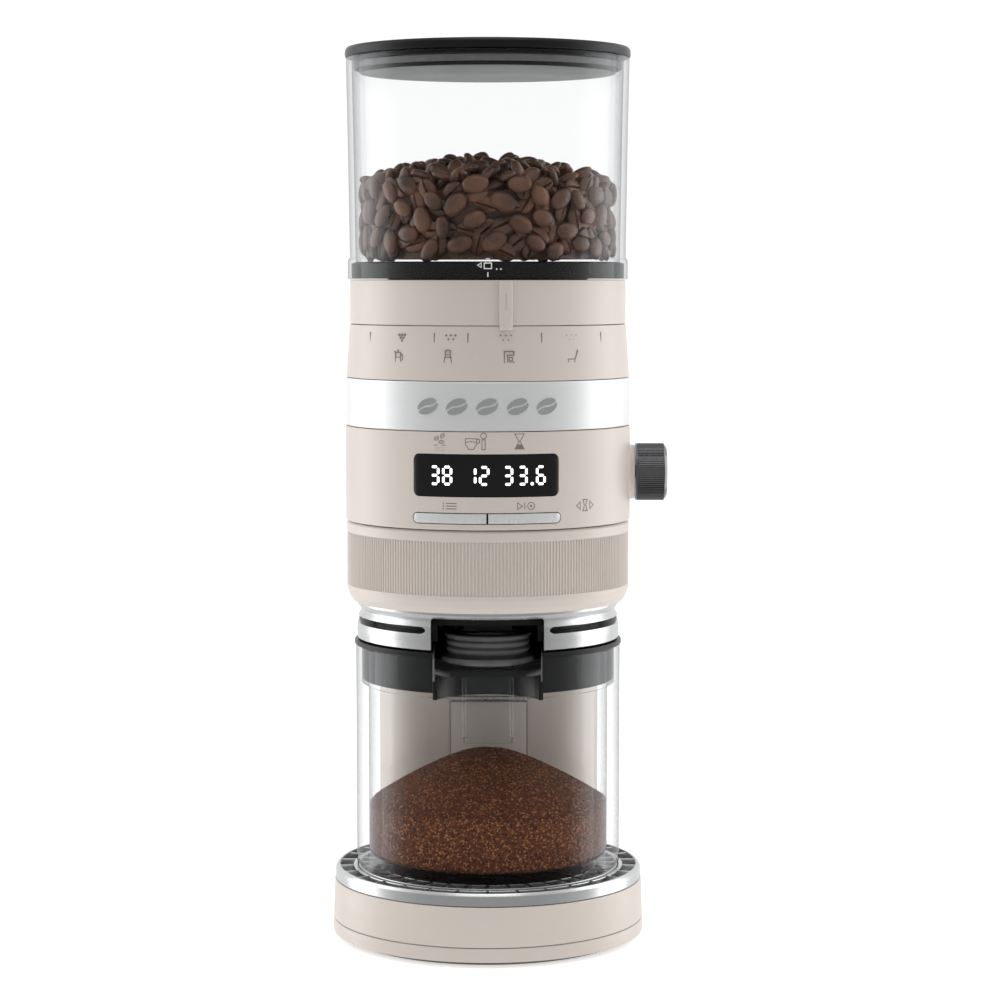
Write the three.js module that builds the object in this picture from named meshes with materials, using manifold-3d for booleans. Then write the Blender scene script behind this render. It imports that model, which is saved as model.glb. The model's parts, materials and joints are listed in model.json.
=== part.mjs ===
// Burr coffee grinder: a round base, a rear tower with the motor, and a round head that
// carries the burrs, the dosing collar, the grind dial and a clear bean hopper.
// Millimetres, +Z up, front towards -Y. The origin is on the floor, under the burr axis.

import * as THREE from 'three';
import { mergeVertices } from 'three/addons/utils/BufferGeometryUtils.js';
import Module from 'manifold-3d';

const wasm = await Module();
wasm.setup();

// ---------------------------------------------------------------- driving dimensions

const GAP = 0.3;          // left between pieces that touch
const ROUND = 36;         // facets round the large turned pieces
const SMALL = 16;         // facets round screws, pins and feet
const WALL = 3;           // casing wall

// Levels where one outside ring ends and the next begins, from the floor up.
const Z = {
  footTop: 2.2, panTop: 8.8, shellTop: 27.1, rimTop: 33.2,
  jarFoot: 33.7, jarFloor: 38, jarRim: 136.2, jarTop: 138.6,
  neckFoot: 139.2, neckStep: 156.3, collarTop: 193.6,
  panelTop: 237.3, bandTop: 259.3, scaleTop: 283.6, dialTop: 303.8,
  hopperRim: 404.4, top: 409,
};

const BASE_R = 72;        // round base at the floor
const RIM_R = 70.9;       // metal rim of the base
const JAR_R = 61.25;      // grounds jar, outside
const NECK_R = 60.6;      // cast neck under the collar
const COLLAR_R = 65.1;    // dosing collar
const HEAD_R = 65.5;      // control panel drum
const HEAD_BORE = 62.3;   // its inside
const SCALE_R = 65;       // fixed grind scale at its foot
const DIAL_R = 63.3;      // turning grind dial
const HOPPER_R = 64.7;    // bean hopper at its rim
const HOPPER_WALL = 2.6;

// Rear tower, behind the head.
const TOWER = { half: 54, front: 67, split: 120, back: 177, top: 256, corner: 16, frontCorner: 24 };

// Drive train: three gears in line between the burr axis and the motor.
const GEAR = { module: 1.5, foot: 204, top: 214, backlash: 0.35 };
const TEETH = { burr: 40, idler: 44, motor: 14 };
const IDLER_Y = GEAR.module * (TEETH.burr + TEETH.idler) / 2;
const MOTOR_Y = IDLER_Y + GEAR.module * (TEETH.idler + TEETH.motor) / 2;
const PLATE = { foot: 198, top: 201.5 };
const MOTOR = { radius: 29, foot: 96, top: 190 };
const SHAFT_R = 4;

// Burr chamber.
const CHAMBER = { foot: 238, floor: 246, radius: 46.6, top: 285 };
const BURR = { foot: 259, top: 281, outer: 40, low: 28.2, high: 34 };

// Grounds path down to the jar.
const DUCT = { half: 11, front: -47, back: -33, wall: 2, foot: 143 };
const MOUTH = 25.2;       // half the front opening of the neck
const SEAL = { top: 141.5, flange: 21.8, body: 19.6, foot: 127.6 };
const SPOUT = { half: 12, depth: 9.5, wall: 1.4, foot: 90, shoulder: 125.9 };

// Controls on the head.
const WINDOW = { foot: 208.9, top: 227.4, half: 32 };
const BUTTON = { foot: 197, top: 201.3 };
const KNOB = { z: 215.5, radius: 13.2, inner: 67.8, edge: 81.2, outer: 82.3 };
const POINTER_DEG = 7.3;

// ---------------------------------------------------------------- finishes

function finish(color, roughness, metalness, opacity = 1) {
  const transparent = opacity < 1;
  return new THREE.MeshStandardMaterial({ color, roughness, metalness, opacity, transparent });
}

const PAINT = finish(0xcdc3ba, 0.4, 0.1);
const SILVER = finish(0xc4c6ca, 0.28, 1);
const STEEL = finish(0x9a9ca0, 0.35, 1);
const CAST = finish(0xa8aaad, 0.45, 0.9);
const KNOB_METAL = finish(0x5d5f62, 0.3, 1);
const BLACK = finish(0x17181a, 0.45, 0);
const GLOSS_BLACK = finish(0x0b0c0e, 0.08, 0);
const RUBBER = finish(0x2a2b2d, 0.8, 0);
const CLEAR = finish(0xe6ecee, 0.05, 0, 0.3);
const BOARD = finish(0x1e5a3a, 0.6, 0);
const NYLON = finish(0xe4dfd2, 0.6, 0);
const BRASS = finish(0xb28a4a, 0.35, 1);

// ---------------------------------------------------------------- solids

// Six times the signed volume of an indexed mesh.
function signedVolume(p, index) {
  let sum = 0;
  for (let i = 0; i < index.length; i += 3) {
    const [a, b, c] = [index[i] * 3, index[i + 1] * 3, index[i + 2] * 3];
    sum += p[a] * (p[b + 1] * p[c + 2] - p[b + 2] * p[c + 1])
         + p[a + 1] * (p[b + 2] * p[c] - p[b] * p[c + 2])
         + p[a + 2] * (p[b] * p[c + 1] - p[b + 1] * p[c]);
  }
  return sum;
}

// A closed three.js geometry as a solid that can be joined and cut, faces pointing out.
function solid(geometry) {
  geometry.deleteAttribute('normal');
  geometry.deleteAttribute('uv');
  const merged = mergeVertices(geometry, 1e-4);
  const corners = merged.index.array;
  const kept = [];
  for (let i = 0; i < corners.length; i += 3) {
    const [a, b, c] = [corners[i], corners[i + 1], corners[i + 2]];
    if (a !== b && b !== c && c !== a) kept.push(a, b, c);
  }
  const vertProperties = Float32Array.from(merged.getAttribute('position').array);
  if (signedVolume(vertProperties, kept) < 0) kept.reverse();
  const triVerts = Uint32Array.from(kept);
  return new wasm.Manifold(new wasm.Mesh({ numProp: 3, vertProperties, triVerts }));
}

const join = (first, ...others) => others.reduce((all, one) => all.add(one), first);
const cut = (first, ...others) => others.reduce((rest, one) => rest.subtract(one), first);

// A piece turned about the Z axis from [radius, height] points.
function turned(profile, facets = ROUND) {
  const points = profile.map(([r, z]) => new THREE.Vector2(r, z));
  if (profile[0][0] > 0) points.push(points[0].clone());
  const geometry = new THREE.LatheGeometry(points, facets);
  return solid(geometry.rotateX(Math.PI / 2));
}

const ring = (inner, outer, low, high, facets) =>
  turned([[inner, low], [outer, low], [outer, high], [inner, high]], facets);

const disc = (radius, low, high, facets) =>
  turned([[0, low], [radius, low], [radius, high], [0, high]], facets);

function box(x0, x1, y0, y1, z0, z1) {
  const geometry = new THREE.BoxGeometry(x1 - x0, y1 - y0, z1 - z0);
  return solid(geometry.translate((x0 + x1) / 2, (y0 + y1) / 2, (z0 + z1) / 2));
}

// A round bar from height low to high, standing at x, y.
function post(x, y, radius, low, high, facets = SMALL) {
  const geometry = new THREE.CylinderGeometry(radius, radius, high - low, facets);
  return solid(geometry.rotateX(Math.PI / 2).translate(x, y, (low + high) / 2));
}

// A round bar along X or along Y.
function barX(x0, x1, y, z, radius, facets = SMALL, end = radius) {
  const geometry = new THREE.CylinderGeometry(end, radius, x1 - x0, facets);
  return solid(geometry.rotateZ(-Math.PI / 2).translate((x0 + x1) / 2, y, z));
}

function barY(y0, y1, x, z, radius, facets = SMALL) {
  const geometry = new THREE.CylinderGeometry(radius, radius, y1 - y0, facets);
  return solid(geometry.translate(x, (y0 + y1) / 2, z));
}

// An upright plate with the outline of a shape drawn in X and Y.
function plate(shape, low, high, curveSegments = 8) {
  const geometry = new THREE.ExtrudeGeometry(shape, {
    depth: high - low, bevelEnabled: false, curveSegments,
  });
  return solid(geometry.translate(0, 0, low));
}

// A slab with the outline of a shape drawn in Y and Z, as thick as from x0 to x1.
function slabX(points, x0, x1) {
  const shape = new THREE.Shape(points.map(([y, z]) => new THREE.Vector2(y, z)));
  const geometry = new THREE.ExtrudeGeometry(shape, { depth: x1 - x0, bevelEnabled: false });
  geometry.rotateX(Math.PI / 2).rotateZ(Math.PI / 2);
  return solid(geometry.translate(x0, 0, 0));
}

// Part of a ring. Angles in degrees are counted from the front, positive towards +X.
function sector(inner, outer, from, to, low, high, curveSegments = 8) {
  const [a, b] = [from - 90, to - 90].map(THREE.MathUtils.degToRad);
  const shape = new THREE.Shape();
  shape.absarc(0, 0, outer, a, b, false);
  shape.absarc(0, 0, inner, b, a, true);
  return plate(shape, low, high, curveSegments);
}

// A rectangle drawn in X and Y, with its back corners rounded, and its front ones if asked.
function towerShape(half, front, back, corner, frontCorner = 0) {
  const shape = new THREE.Shape();
  const quarter = Math.PI / 2;
  if (frontCorner) {
    shape.absarc(frontCorner - half, front + frontCorner, frontCorner, 2 * quarter, 3 * quarter, false);
    shape.absarc(half - frontCorner, front + frontCorner, frontCorner, 3 * quarter, 4 * quarter, false);
  } else {
    shape.moveTo(-half, front);
    shape.lineTo(half, front);
  }
  if (corner) {
    shape.absarc(half - corner, back - corner, corner, 0, quarter, false);
    shape.absarc(corner - half, back - corner, corner, quarter, 2 * quarter, false);
  } else {
    shape.lineTo(half, back);
    shape.lineTo(-half, back);
  }
  shape.closePath();
  return shape;
}

const grinder = new THREE.Group();

function add(name, body, material) {
  const mesh = body.getMesh();
  const geometry = new THREE.BufferGeometry();
  geometry.setAttribute('position', new THREE.BufferAttribute(mesh.vertProperties, 3));
  geometry.setIndex(new THREE.BufferAttribute(mesh.triVerts, 1));
  geometry.computeVertexNormals();
  const piece = new THREE.Mesh(geometry, material);
  piece.name = name;
  grinder.add(piece);
}

// ---------------------------------------------------------------- base

function base() {
  const { half, back, corner, front, frontCorner } = TOWER;
  add('foot_pad', turned([[0, 0], [65, 0], [66, 0.8], [66, Z.footTop], [0, Z.footTop]]), RUBBER);
  for (const [side, x] of [['left', -34], ['right', 34]]) {
    add(`rear_foot_${side}`, post(x, 155, 9, 0, Z.footTop), RUBBER);
  }

  const panFoot = Z.footTop + GAP;
  const panFloor = 5;
  const pan = cut(
    join(disc(BASE_R, panFoot, Z.panTop), plate(towerShape(half, 0, back, corner), panFoot, Z.panTop)),
    disc(BASE_R - WALL, panFloor, Z.shellTop),
    plate(towerShape(half - WALL, 0, back - WALL, corner - WALL), panFloor, Z.shellTop),
  );
  add('base_pan', pan, PAINT);
  add('base_weight', disc(60, panFloor + GAP, 14), CAST);

  const shellFoot = Z.panTop + GAP;
  const round = turned([[0, shellFoot], [71.9, shellFoot], [71.3, Z.shellTop], [0, Z.shellTop]]);
  const deck = Z.shellTop - WALL;
  const shell = cut(
    join(round, plate(towerShape(half, 0, back, corner), shellFoot, Z.shellTop)),
    disc(BASE_R - WALL - 1, 0, deck),
    plate(towerShape(half - WALL, 0, back - WALL, corner - WALL), 0, deck),
    plate(towerShape(half - WALL, front + WALL, back - WALL, corner - WALL, frontCorner - WALL), 0, Z.rimTop),
  );
  add('base_shell', shell, PAINT);

  // The rim is cut back where the tower stands over it.
  const rimFoot = Z.shellTop + GAP;
  const trayR = 60.3;
  const rim = cut(turned([
    [trayR + GAP, rimFoot], [RIM_R, rimFoot], [RIM_R, 31.6], [RIM_R - 0.6, Z.rimTop],
    [trayR + GAP, Z.rimTop],
  ]), box(-half - GAP, half + GAP, front - GAP, 80, 20, 40));
  add('base_rim', rim, SILVER);
  add('jar_tray', disc(trayR, rimFoot, Z.rimTop), STEEL);
}

// ---------------------------------------------------------------- casing

const SCREWS = [[-36, 50], [36, 50], [-36, 245], [36, 245]];

function casing() {
  const { half, front, split, back, top, corner, frontCorner } = TOWER;
  const foot = Z.shellTop + 0.5;
  const panelFoot = Z.collarTop + 0.5;
  const sill = panelFoot + WALL;
  const lintel = Z.panelTop - WALL;
  const screwTip = 160;
  const postStart = front + 2.5;

  const headBack = front - GAP;
  const headOutside = join(
    disc(HEAD_R, panelFoot, Z.panelTop),
    box(-half, half, 36, headBack, panelFoot, Z.panelTop),
    barX(60, KNOB.inner - GAP, 0, KNOB.z, 12.5, 24),
  );
  const headInside = [
    disc(HEAD_BORE, panelFoot - 5, Z.panelTop + 5),
    box(-half + WALL, half - WALL, 30, front, sill, lintel),
  ];
  const openings = [
    box(-WINDOW.half - 0.7, WINDOW.half - 0.3, -70, -40, WINDOW.foot - GAP, WINDOW.top + GAP),
    box(-32.9, 32.5, -70, -40, BUTTON.foot - GAP, BUTTON.top + GAP),
    barX(50, 70, 0, KNOB.z, 4),
  ];
  add('head_casing', cut(headOutside, ...headInside, ...openings), PAINT);

  // Under the head the tower's front corners are rounded; beside the head they are square.
  let tower = cut(
    join(
      plate(towerShape(half, front, split, 0, frontCorner), foot, panelFoot + 0.01),
      box(-half, half, front, split, panelFoot, top),
    ),
    plate(towerShape(half - WALL, front + WALL, split + 1, 0, frontCorner - WALL), foot - 1, top - WALL),
    box(-half + WALL, half - WALL, front - 1, front + WALL + 1, sill, lintel),
    box(-19, 19, front - 1, front + 1.6, 34, 101),
  );
  for (const [x, z] of SCREWS) {
    tower = join(tower, barY(postStart, back - WALL - GAP, x, z, 4.5, 12));
    tower = cut(tower, barY(screwTip - 1, back, x, z, 1.9, 8));
  }
  add('tower_casing', tower, PAINT);

  add('tower_panel', box(-18.7, 18.7, front + 0.1, front + 1.3, 34.3, 98), PAINT);
  add('panel_trim', box(-18.7, 18.7, front - 0.6, front + 1.3, 98.3, 100.7), SILVER);

  let cover = cut(
    plate(towerShape(half, split + GAP, back, corner), foot, top),
    plate(towerShape(half - WALL, split - 1, back - WALL, corner - WALL), foot - 1, top - WALL),
    barY(back - 10, back + 5, 0, 46, 6.3),
  );
  for (let row = 0; row < 6; row += 1) {
    const z = 92 + row * 8;
    cover = cut(cover, box(-22, 22, back - 10, back + 5, z, z + 3.4));
  }
  const seat = back - 1.6;
  for (const [x, z] of SCREWS) {
    cover = cut(cover, barY(back - 5, back + 5, x, z, 1.9, 8), barY(seat, back + 5, x, z, 4.2, 12));
  }
  add('rear_cover', cover, PAINT);

  SCREWS.forEach(([x, z], i) => {
    const screw = join(barY(seat + GAP, back, x, z, 3.7, 12), barY(screwTip, seat + 1, x, z, 1.5, 8));
    add(`cover_screw_${i + 1}`, screw, STEEL);
  });

  const gland = cut(
    join(barY(back - 8, back + 1, 0, 46, 6), barY(back + GAP, back + 2.6, 0, 46, 8.5)),
    barY(back - 12, back + 8, 0, 46, 3.2),
  );
  add('cord_gland', gland, BLACK);
  add('control_board', box(-36, 36, 158, 159.6, 60, 160), BOARD);
}

// ---------------------------------------------------------------- motor and gears

// Outline of a spur gear with involute flanks, turned so that a tooth or a gap faces +Y.
function gearShape(teeth, gapFacesUp) {
  const pitchR = GEAR.module * teeth / 2;
  const baseR = pitchR * Math.cos(THREE.MathUtils.degToRad(20));
  const tipR = pitchR + 0.9 * GEAR.module;
  const rootR = pitchR - 1.2 * GEAR.module;
  const involute = (r) => {
    const t = Math.sqrt(Math.max((r / baseR) ** 2 - 1, 0));
    return t - Math.atan(t);
  };
  const halfPitch = (Math.PI * GEAR.module / 2 - GEAR.backlash) / 2 / pitchR;
  const halfAt = (r) => halfPitch + involute(pitchR) - involute(r);
  const radii = [rootR, pitchR, tipR];
  const step = 2 * Math.PI / teeth;
  const shape = new THREE.Shape();
  for (let tooth = 0; tooth < teeth; tooth += 1) {
    const middle = Math.PI / 2 + (tooth + (gapFacesUp ? 0.5 : 0)) * step;
    const left = radii.map((r) => [r, middle - halfAt(r)]);
    const right = radii.map((r) => [r, middle + halfAt(r)]).reverse();
    for (const [r, angle] of [...left, ...right]) {
      const [x, y] = [r * Math.cos(angle), r * Math.sin(angle)];
      if (shape.curves.length || tooth || r !== radii[0]) shape.lineTo(x, y);
      else shape.moveTo(x, y);
    }
  }
  shape.closePath();
  return shape;
}

function gearAt(teeth, y, gapFacesUp) {
  const geometry = new THREE.ExtrudeGeometry(gearShape(teeth, gapFacesUp), {
    depth: GEAR.top - GEAR.foot, bevelEnabled: false,
  });
  return solid(geometry.translate(0, y, GEAR.foot));
}

function drive() {
  const upper = { foot: CHAMBER.foot + 0.5, top: CHAMBER.floor - 0.5 };
  add('motor_can', post(0, MOTOR_Y, MOTOR.radius, MOTOR.foot, MOTOR.top, 32), STEEL);
  add('motor_bell', join(
    post(0, MOTOR_Y, MOTOR.radius, 88, MOTOR.foot - GAP, 32), post(0, MOTOR_Y, 9, 82, 89),
  ), CAST);
  add('motor_pinion', join(
    post(0, MOTOR_Y, 2.6, MOTOR.top + GAP, 217), gearAt(TEETH.motor, MOTOR_Y, false),
  ), STEEL);

  const web = cut(
    join(disc(60, PLATE.foot, PLATE.top), box(-34, 34, 0, 139, PLATE.foot, PLATE.top)),
    post(0, 0, 10, 190, 210), post(0, MOTOR_Y, 5, 190, 210),
    box(-DUCT.half - 0.4, DUCT.half + 0.4, DUCT.front - 0.4, DUCT.back + 0.4, 190, 210),
  );
  add('gear_plate', web, CAST);
  add('idler_pin', post(0, IDLER_Y, 3, PLATE.top + GAP, 216), STEEL);
  add('idler_gear', cut(gearAt(TEETH.idler, IDLER_Y, true), post(0, IDLER_Y, 3.4, 190, 220)), NYLON);

  add('burr_shaft', post(0, 0, SHAFT_R, PLATE.foot + 0.5, 284, 24), STEEL);
  add('burr_gear', cut(
    join(gearAt(TEETH.burr, 0, false), post(0, 0, 8, GEAR.foot - 2, GEAR.top + 4, 24)),
    post(0, 0, SHAFT_R + GAP, 190, 230, 24),
  ), NYLON);
  add('lower_bearing', ring(SHAFT_R + 0.4, 9.7, PLATE.foot + 0.2, PLATE.top - 0.2, 24), BRASS);
  add('upper_bearing', ring(SHAFT_R + 0.4, 11, upper.foot, upper.top, 24), BRASS);
}

// ---------------------------------------------------------------- burrs

// Grooves down a cone, each one a bar laid along the slope at an even spacing.
function grooves(count, width, depth, low, lowR, high, highR) {
  const length = Math.hypot(high - low, highR - lowR) + 6;
  const tilt = Math.atan2(highR - lowR, high - low);
  const bars = [];
  for (let i = 0; i < count; i += 1) {
    const geometry = new THREE.BoxGeometry(width, depth * 2, length);
    geometry.rotateY(0.25).rotateX(tilt);
    geometry.translate(0, -(lowR + highR) / 2, (low + high) / 2);
    bars.push(solid(geometry.rotateZ(2 * Math.PI * i / count)));
  }
  return bars;
}

function burrs() {
  const { foot, top, outer, low, high } = BURR;
  const housing = cut(turned([
    [11.4, CHAMBER.foot], [61.9, CHAMBER.foot], [61.9, 241], [50, 241], [50, 264], [60.4, 264],
    [60.4, 267], [50, 267], [50, CHAMBER.top], [CHAMBER.radius, CHAMBER.top],
    [CHAMBER.radius, CHAMBER.floor], [11.4, CHAMBER.floor],
  ]), box(-9, 9, DUCT.front + 2, DUCT.back - 2, 230, 250));
  add('burr_housing', housing, CAST);

  const sweepFoot = CHAMBER.floor + 0.8;
  let sweeper = disc(30, sweepFoot, 250, 24);
  for (let i = 0; i < 4; i += 1) {
    const geometry = new THREE.BoxGeometry(3, 18, 254 - sweepFoot);
    geometry.translate(0, -36, (254 + sweepFoot) / 2).rotateZ(i * Math.PI / 2);
    sweeper = join(sweeper, solid(geometry));
  }
  add('sweeper', cut(sweeper, post(0, 0, SHAFT_R + GAP, 240, 260, 24)), NYLON);

  const coneFoot = 254.6;
  const cone = cut(
    turned([[0, coneFoot], [27, coneFoot], [27.2, foot + 2], [11, 283], [0, 283]], 24),
    ...grooves(8, 3.4, 1.8, coneFoot + 3, 28.4, 283, 12), post(0, 0, SHAFT_R + GAP, 240, 290, 24),
  );
  add('cone_burr', cone, STEEL);
  add('burr_bolt', post(0, 0, 7, 284.4, 287.6, 6), STEEL);

  const annulus = cut(
    turned([[low, foot], [outer, foot], [outer, top], [high, top]]),
    ...grooves(10, 2.4, 1.4, foot, low, top, high),
  );
  add('ring_burr', annulus, STEEL);

  const sleeve = CHAMBER.radius - 0.5;
  add('burr_carrier', turned([
    [outer + GAP, foot - 0.5], [sleeve, foot - 0.5], [sleeve, 289], [high + 1, 289],
    [high + 1, top + GAP], [outer + GAP, top + GAP],
  ]), CAST);
}

// ---------------------------------------------------------------- neck, collar and grounds path

function neck() {
  const slot = { foot: 146.7, top: 149.8 };
  const opening = 153.7;
  const inner = 52;
  const sleeve = cut(
    ring(inner, NECK_R, Z.neckFoot, PLATE.foot - GAP),
    box(-MOUTH, MOUTH, -80, 0, Z.neckFoot - 5, opening),
    sector(50, 70, 27.5, 95, slot.foot, slot.top),
    sector(50, 70, -95, -27.5, slot.foot, slot.top),
  );
  add('neck_ring', sleeve, SILVER);

  const ceiling = 150.2;
  const core = cut(
    disc(inner - GAP, 142.4, Z.neckStep),
    disc(48, 140, ceiling),
    box(-22.4, 22.4, -80, 0, 140, ceiling),
    box(-DUCT.half - 0.4, DUCT.half + 0.4, -DUCT.half - 0.4, DUCT.half + 0.4, 140, 170),
  );
  add('neck_core', core, BLACK);

  add('dose_collar', turned([
    [NECK_R + 0.5, Z.neckStep + 0.3], [62, Z.neckStep + 0.3], [63.9, 159.2], [COLLAR_R, 162.6],
    [COLLAR_R, 192.6], [COLLAR_R - 0.7, Z.collarTop], [NECK_R + 0.5, Z.collarTop],
  ]), PAINT);

  // The duct drops past the gears, and the funnel under it slants back to the middle.
  const { half, front, back, wall, foot } = DUCT;
  const ductTop = CHAMBER.foot - GAP;
  const funnelTop = PLATE.foot - GAP;
  add('grounds_duct', cut(
    box(-half, half, front, back, PLATE.foot + GAP, ductTop),
    box(wall - half, half - wall, front + wall, back - wall, 190, 250),
  ), BLACK);
  const outline = [
    [front, funnelTop], [half, funnelTop], [half, foot], [-half, foot], [-half, 158], [front, 192],
  ];
  const bore = [
    [front + wall, 205], [half - wall, 205], [half - wall, foot - 5], [wall - half, foot - 5],
    [wall - half, 159.2], [front + wall, 193],
  ];
  add('grounds_funnel', cut(slabX(outline, -half, half), slabX(bore, wall - half, half - wall)), BLACK);
}

// ---------------------------------------------------------------- head controls

function controls() {
  const panelAngle = (x) => THREE.MathUtils.radToDeg(Math.asin(x / HEAD_R));
  const skin = HEAD_R - 0.2;
  const lens = sector(HEAD_R - 2.4, skin, panelAngle(-32.4), panelAngle(31.4), WINDOW.foot, WINDOW.top);
  add('display_window', lens, GLOSS_BLACK);
  add('display_board', box(-27, 27, -53.8, -52.2, 205, 231), BOARD);

  const keys = [['program_button', -32.5, -0.4], ['start_button', 0.5, 32.1]];
  for (const [name, from, to] of keys) {
    const key = sector(HEAD_R - 2.6, HEAD_R + 0.3, panelAngle(from), panelAngle(to), BUTTON.foot, BUTTON.top);
    add(name, key, SILVER);
  }

  add('timer_knob', join(
    barX(KNOB.inner, KNOB.edge, 0, KNOB.z, KNOB.radius, 32),
    barX(KNOB.edge - 0.01, KNOB.outer, 0, KNOB.z, KNOB.radius, 32, KNOB.radius - 1.2),
    barX(56, KNOB.inner + 1, 0, KNOB.z, 3),
  ), KNOB_METAL);
  add('knob_encoder', box(46, 55.7, -8, 8, KNOB.z - 8, KNOB.z + 8), BLACK);

  add('trim_band', ring(HEAD_BORE, 65.15, Z.panelTop + GAP, Z.bandTop), SILVER);
  add('scale_ring', turned([
    [60.8, Z.bandTop + GAP], [SCALE_R, Z.bandTop + GAP], [64.5, 268], [64, 278],
    [63.4, Z.scaleTop], [60.8, Z.scaleTop],
  ]), PAINT);

  const dialFoot = Z.scaleTop + GAP;
  const dial = turned([
    [46.9, 286.2], [57, 286.2], [60.2, dialFoot], [DIAL_R, dialFoot], [DIAL_R - 0.1, Z.dialTop],
    [58, Z.dialTop], [58, 291], [46.9, 291],
  ]);
  const tab = new THREE.BoxGeometry(5.8, 3.4, Z.dialTop - 0.2 - dialFoot);
  tab.translate(0, -64.2, (Z.dialTop - 0.2 + dialFoot) / 2);
  const toe = new THREE.BoxGeometry(5.8, 1.4, 3);
  toe.translate(0, -65.2, dialFoot - 0.5);
  const turn = THREE.MathUtils.degToRad(POINTER_DEG);
  add('grind_dial', join(dial, solid(tab.rotateZ(turn)), solid(toe.rotateZ(turn))), PAINT);
}

// ---------------------------------------------------------------- hopper

function hopper() {
  const foot = Z.dialTop + GAP;
  const spigot = 45.6;
  add('bayonet_ring', ring(spigot + 0.5, 57.5, 291.4, Z.dialTop), BLACK);

  const leaf = cut(
    disc(spigot - 0.2, 290.9, 292.6),
    sector(7, 22, 50, 130, 280, 300, 6), sector(7, 22, 230, 310, 280, 300, 6),
  );
  add('bean_gate', leaf, STEEL);

  const outside = [
    [HOPPER_R - 0.5, foot], [HOPPER_R - 0.5, 312.6], [63.2, 314], [64, 369],
    [HOPPER_R, Z.hopperRim],
  ];
  const inside = [
    [HOPPER_R - HOPPER_WALL, Z.hopperRim], [63.2 - HOPPER_WALL, 314], [63.2 - HOPPER_WALL, 306.6],
    [46, 306.6], [46, foot],
  ];
  add('bean_hopper', turned([...outside, ...inside]), CLEAR);
  add('hopper_funnel', turned([
    [24, 293], [spigot, 293], [spigot, 306.9], [60.2, 306.9], [60.2, 312.6], [24, 300],
  ]), BLACK);

  const plug = 59;
  const rimFoot = Z.hopperRim + GAP;
  const cap = turned([
    [0, 397.5], [plug, 397.5], [plug, rimFoot], [65.2, rimFoot], [65.2, 408], [64.4, Z.top],
    [58, Z.top], [53, 402.5], [0, 402.5],
  ]);
  add('hopper_lid', join(cap, box(-54, 54, -7, 7, 402, 407.6)), BLACK);
  add('lid_seal', ring(plug + GAP, 61.5, 399.2, 402.6), RUBBER);
}

// ---------------------------------------------------------------- grounds jar

function jar() {
  const bore = 55.3;
  const rabbet = { foot: 118.5, radius: 58.4 };
  add('jar_glass', turned([
    [0, Z.jarFoot], [JAR_R - 1.2, Z.jarFoot], [JAR_R, Z.jarFoot + 1.4], [JAR_R, Z.jarRim],
    [rabbet.radius, Z.jarRim], [rabbet.radius, rabbet.foot], [bore, rabbet.foot - 1],
    [bore, Z.jarFloor], [0, Z.jarFloor],
  ]), CLEAR);

  // The lid is a ring with a plate across it. A slot runs in from the front to a well round
  // the spout, so that grounds pour out of it and the spout can be seen.
  const skirt = rabbet.radius - 0.4;
  const well = 26.5;
  const shelf = { foot: 122.6, top: 125.6 };
  const wellFoot = 108;
  const slot = 24.5;
  const ringPart = turned([
    [skirt - 2.6, 120], [skirt, 120], [skirt, Z.jarRim + GAP], [JAR_R + 0.45, Z.jarRim + GAP],
    [JAR_R + 0.45, Z.jarTop], [0, Z.jarTop], [0, 136], [skirt - 2.6, 136],
  ]);
  const wellWall = cut(
    disc(well, wellFoot, 137, 24),
    disc(well - 2, wellFoot - 5, shelf.foot, 24), disc(well - 2, shelf.top, 145, 24),
  );
  const spoutHole = box(
    -SPOUT.half - GAP, SPOUT.half + GAP, -SPOUT.depth - GAP, SPOUT.depth + GAP, 80, 150,
  );
  const lid = cut(
    join(cut(ringPart, disc(well - 1, 100, 150, 24)), wellWall),
    box(-slot, slot, -80, 0, shelf.top, 150),
    box(-slot, slot, -80, -20, 100, 150), box(-slot, slot, -80, 0, 100, shelf.foot), spoutHole,
  );
  add('jar_lid', lid, BLACK);

  const { top, flange, body, foot } = SEAL;
  add('chute_seal', turned([
    [12.6, foot], [flange, foot], [flange, 131.6], [body, 133.2], [body + 0.6, 135.4],
    [body - 0.6, 137.6], [body, top], [12.6, top],
  ], 24), RUBBER);

  const { half, depth, wall, shoulder } = SPOUT;
  const tube = cut(
    join(
      box(-half, half, -depth, depth, SPOUT.foot, shoulder + 0.5),
      box(-half - 2.4, half + 2.4, -depth - 2.4, depth + 2.4, shoulder, foot - GAP),
    ),
    box(wall - half, half - wall, wall - depth, depth - wall, 80, 150),
  );
  add('spout', tube, CLEAR);
}

base();
casing();
drive();
burrs();
neck();
controls();
hopper();
jar();

export default grinder;
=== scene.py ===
# %% [markdown]
# # A burr coffee grinder
# This notebook dresses the working model of a countertop burr grinder. The frame holds every part at
# its real size and place, as plain faceted solids. Each cell below makes the fine surface of one real
# piece: turned covers, a ribbed collar, a clear hopper with beans, a glass jar with ground coffee.

# %% Load the frame
import json
import math

import bmesh
import bpy
from mathutils import Matrix, Vector

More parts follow.
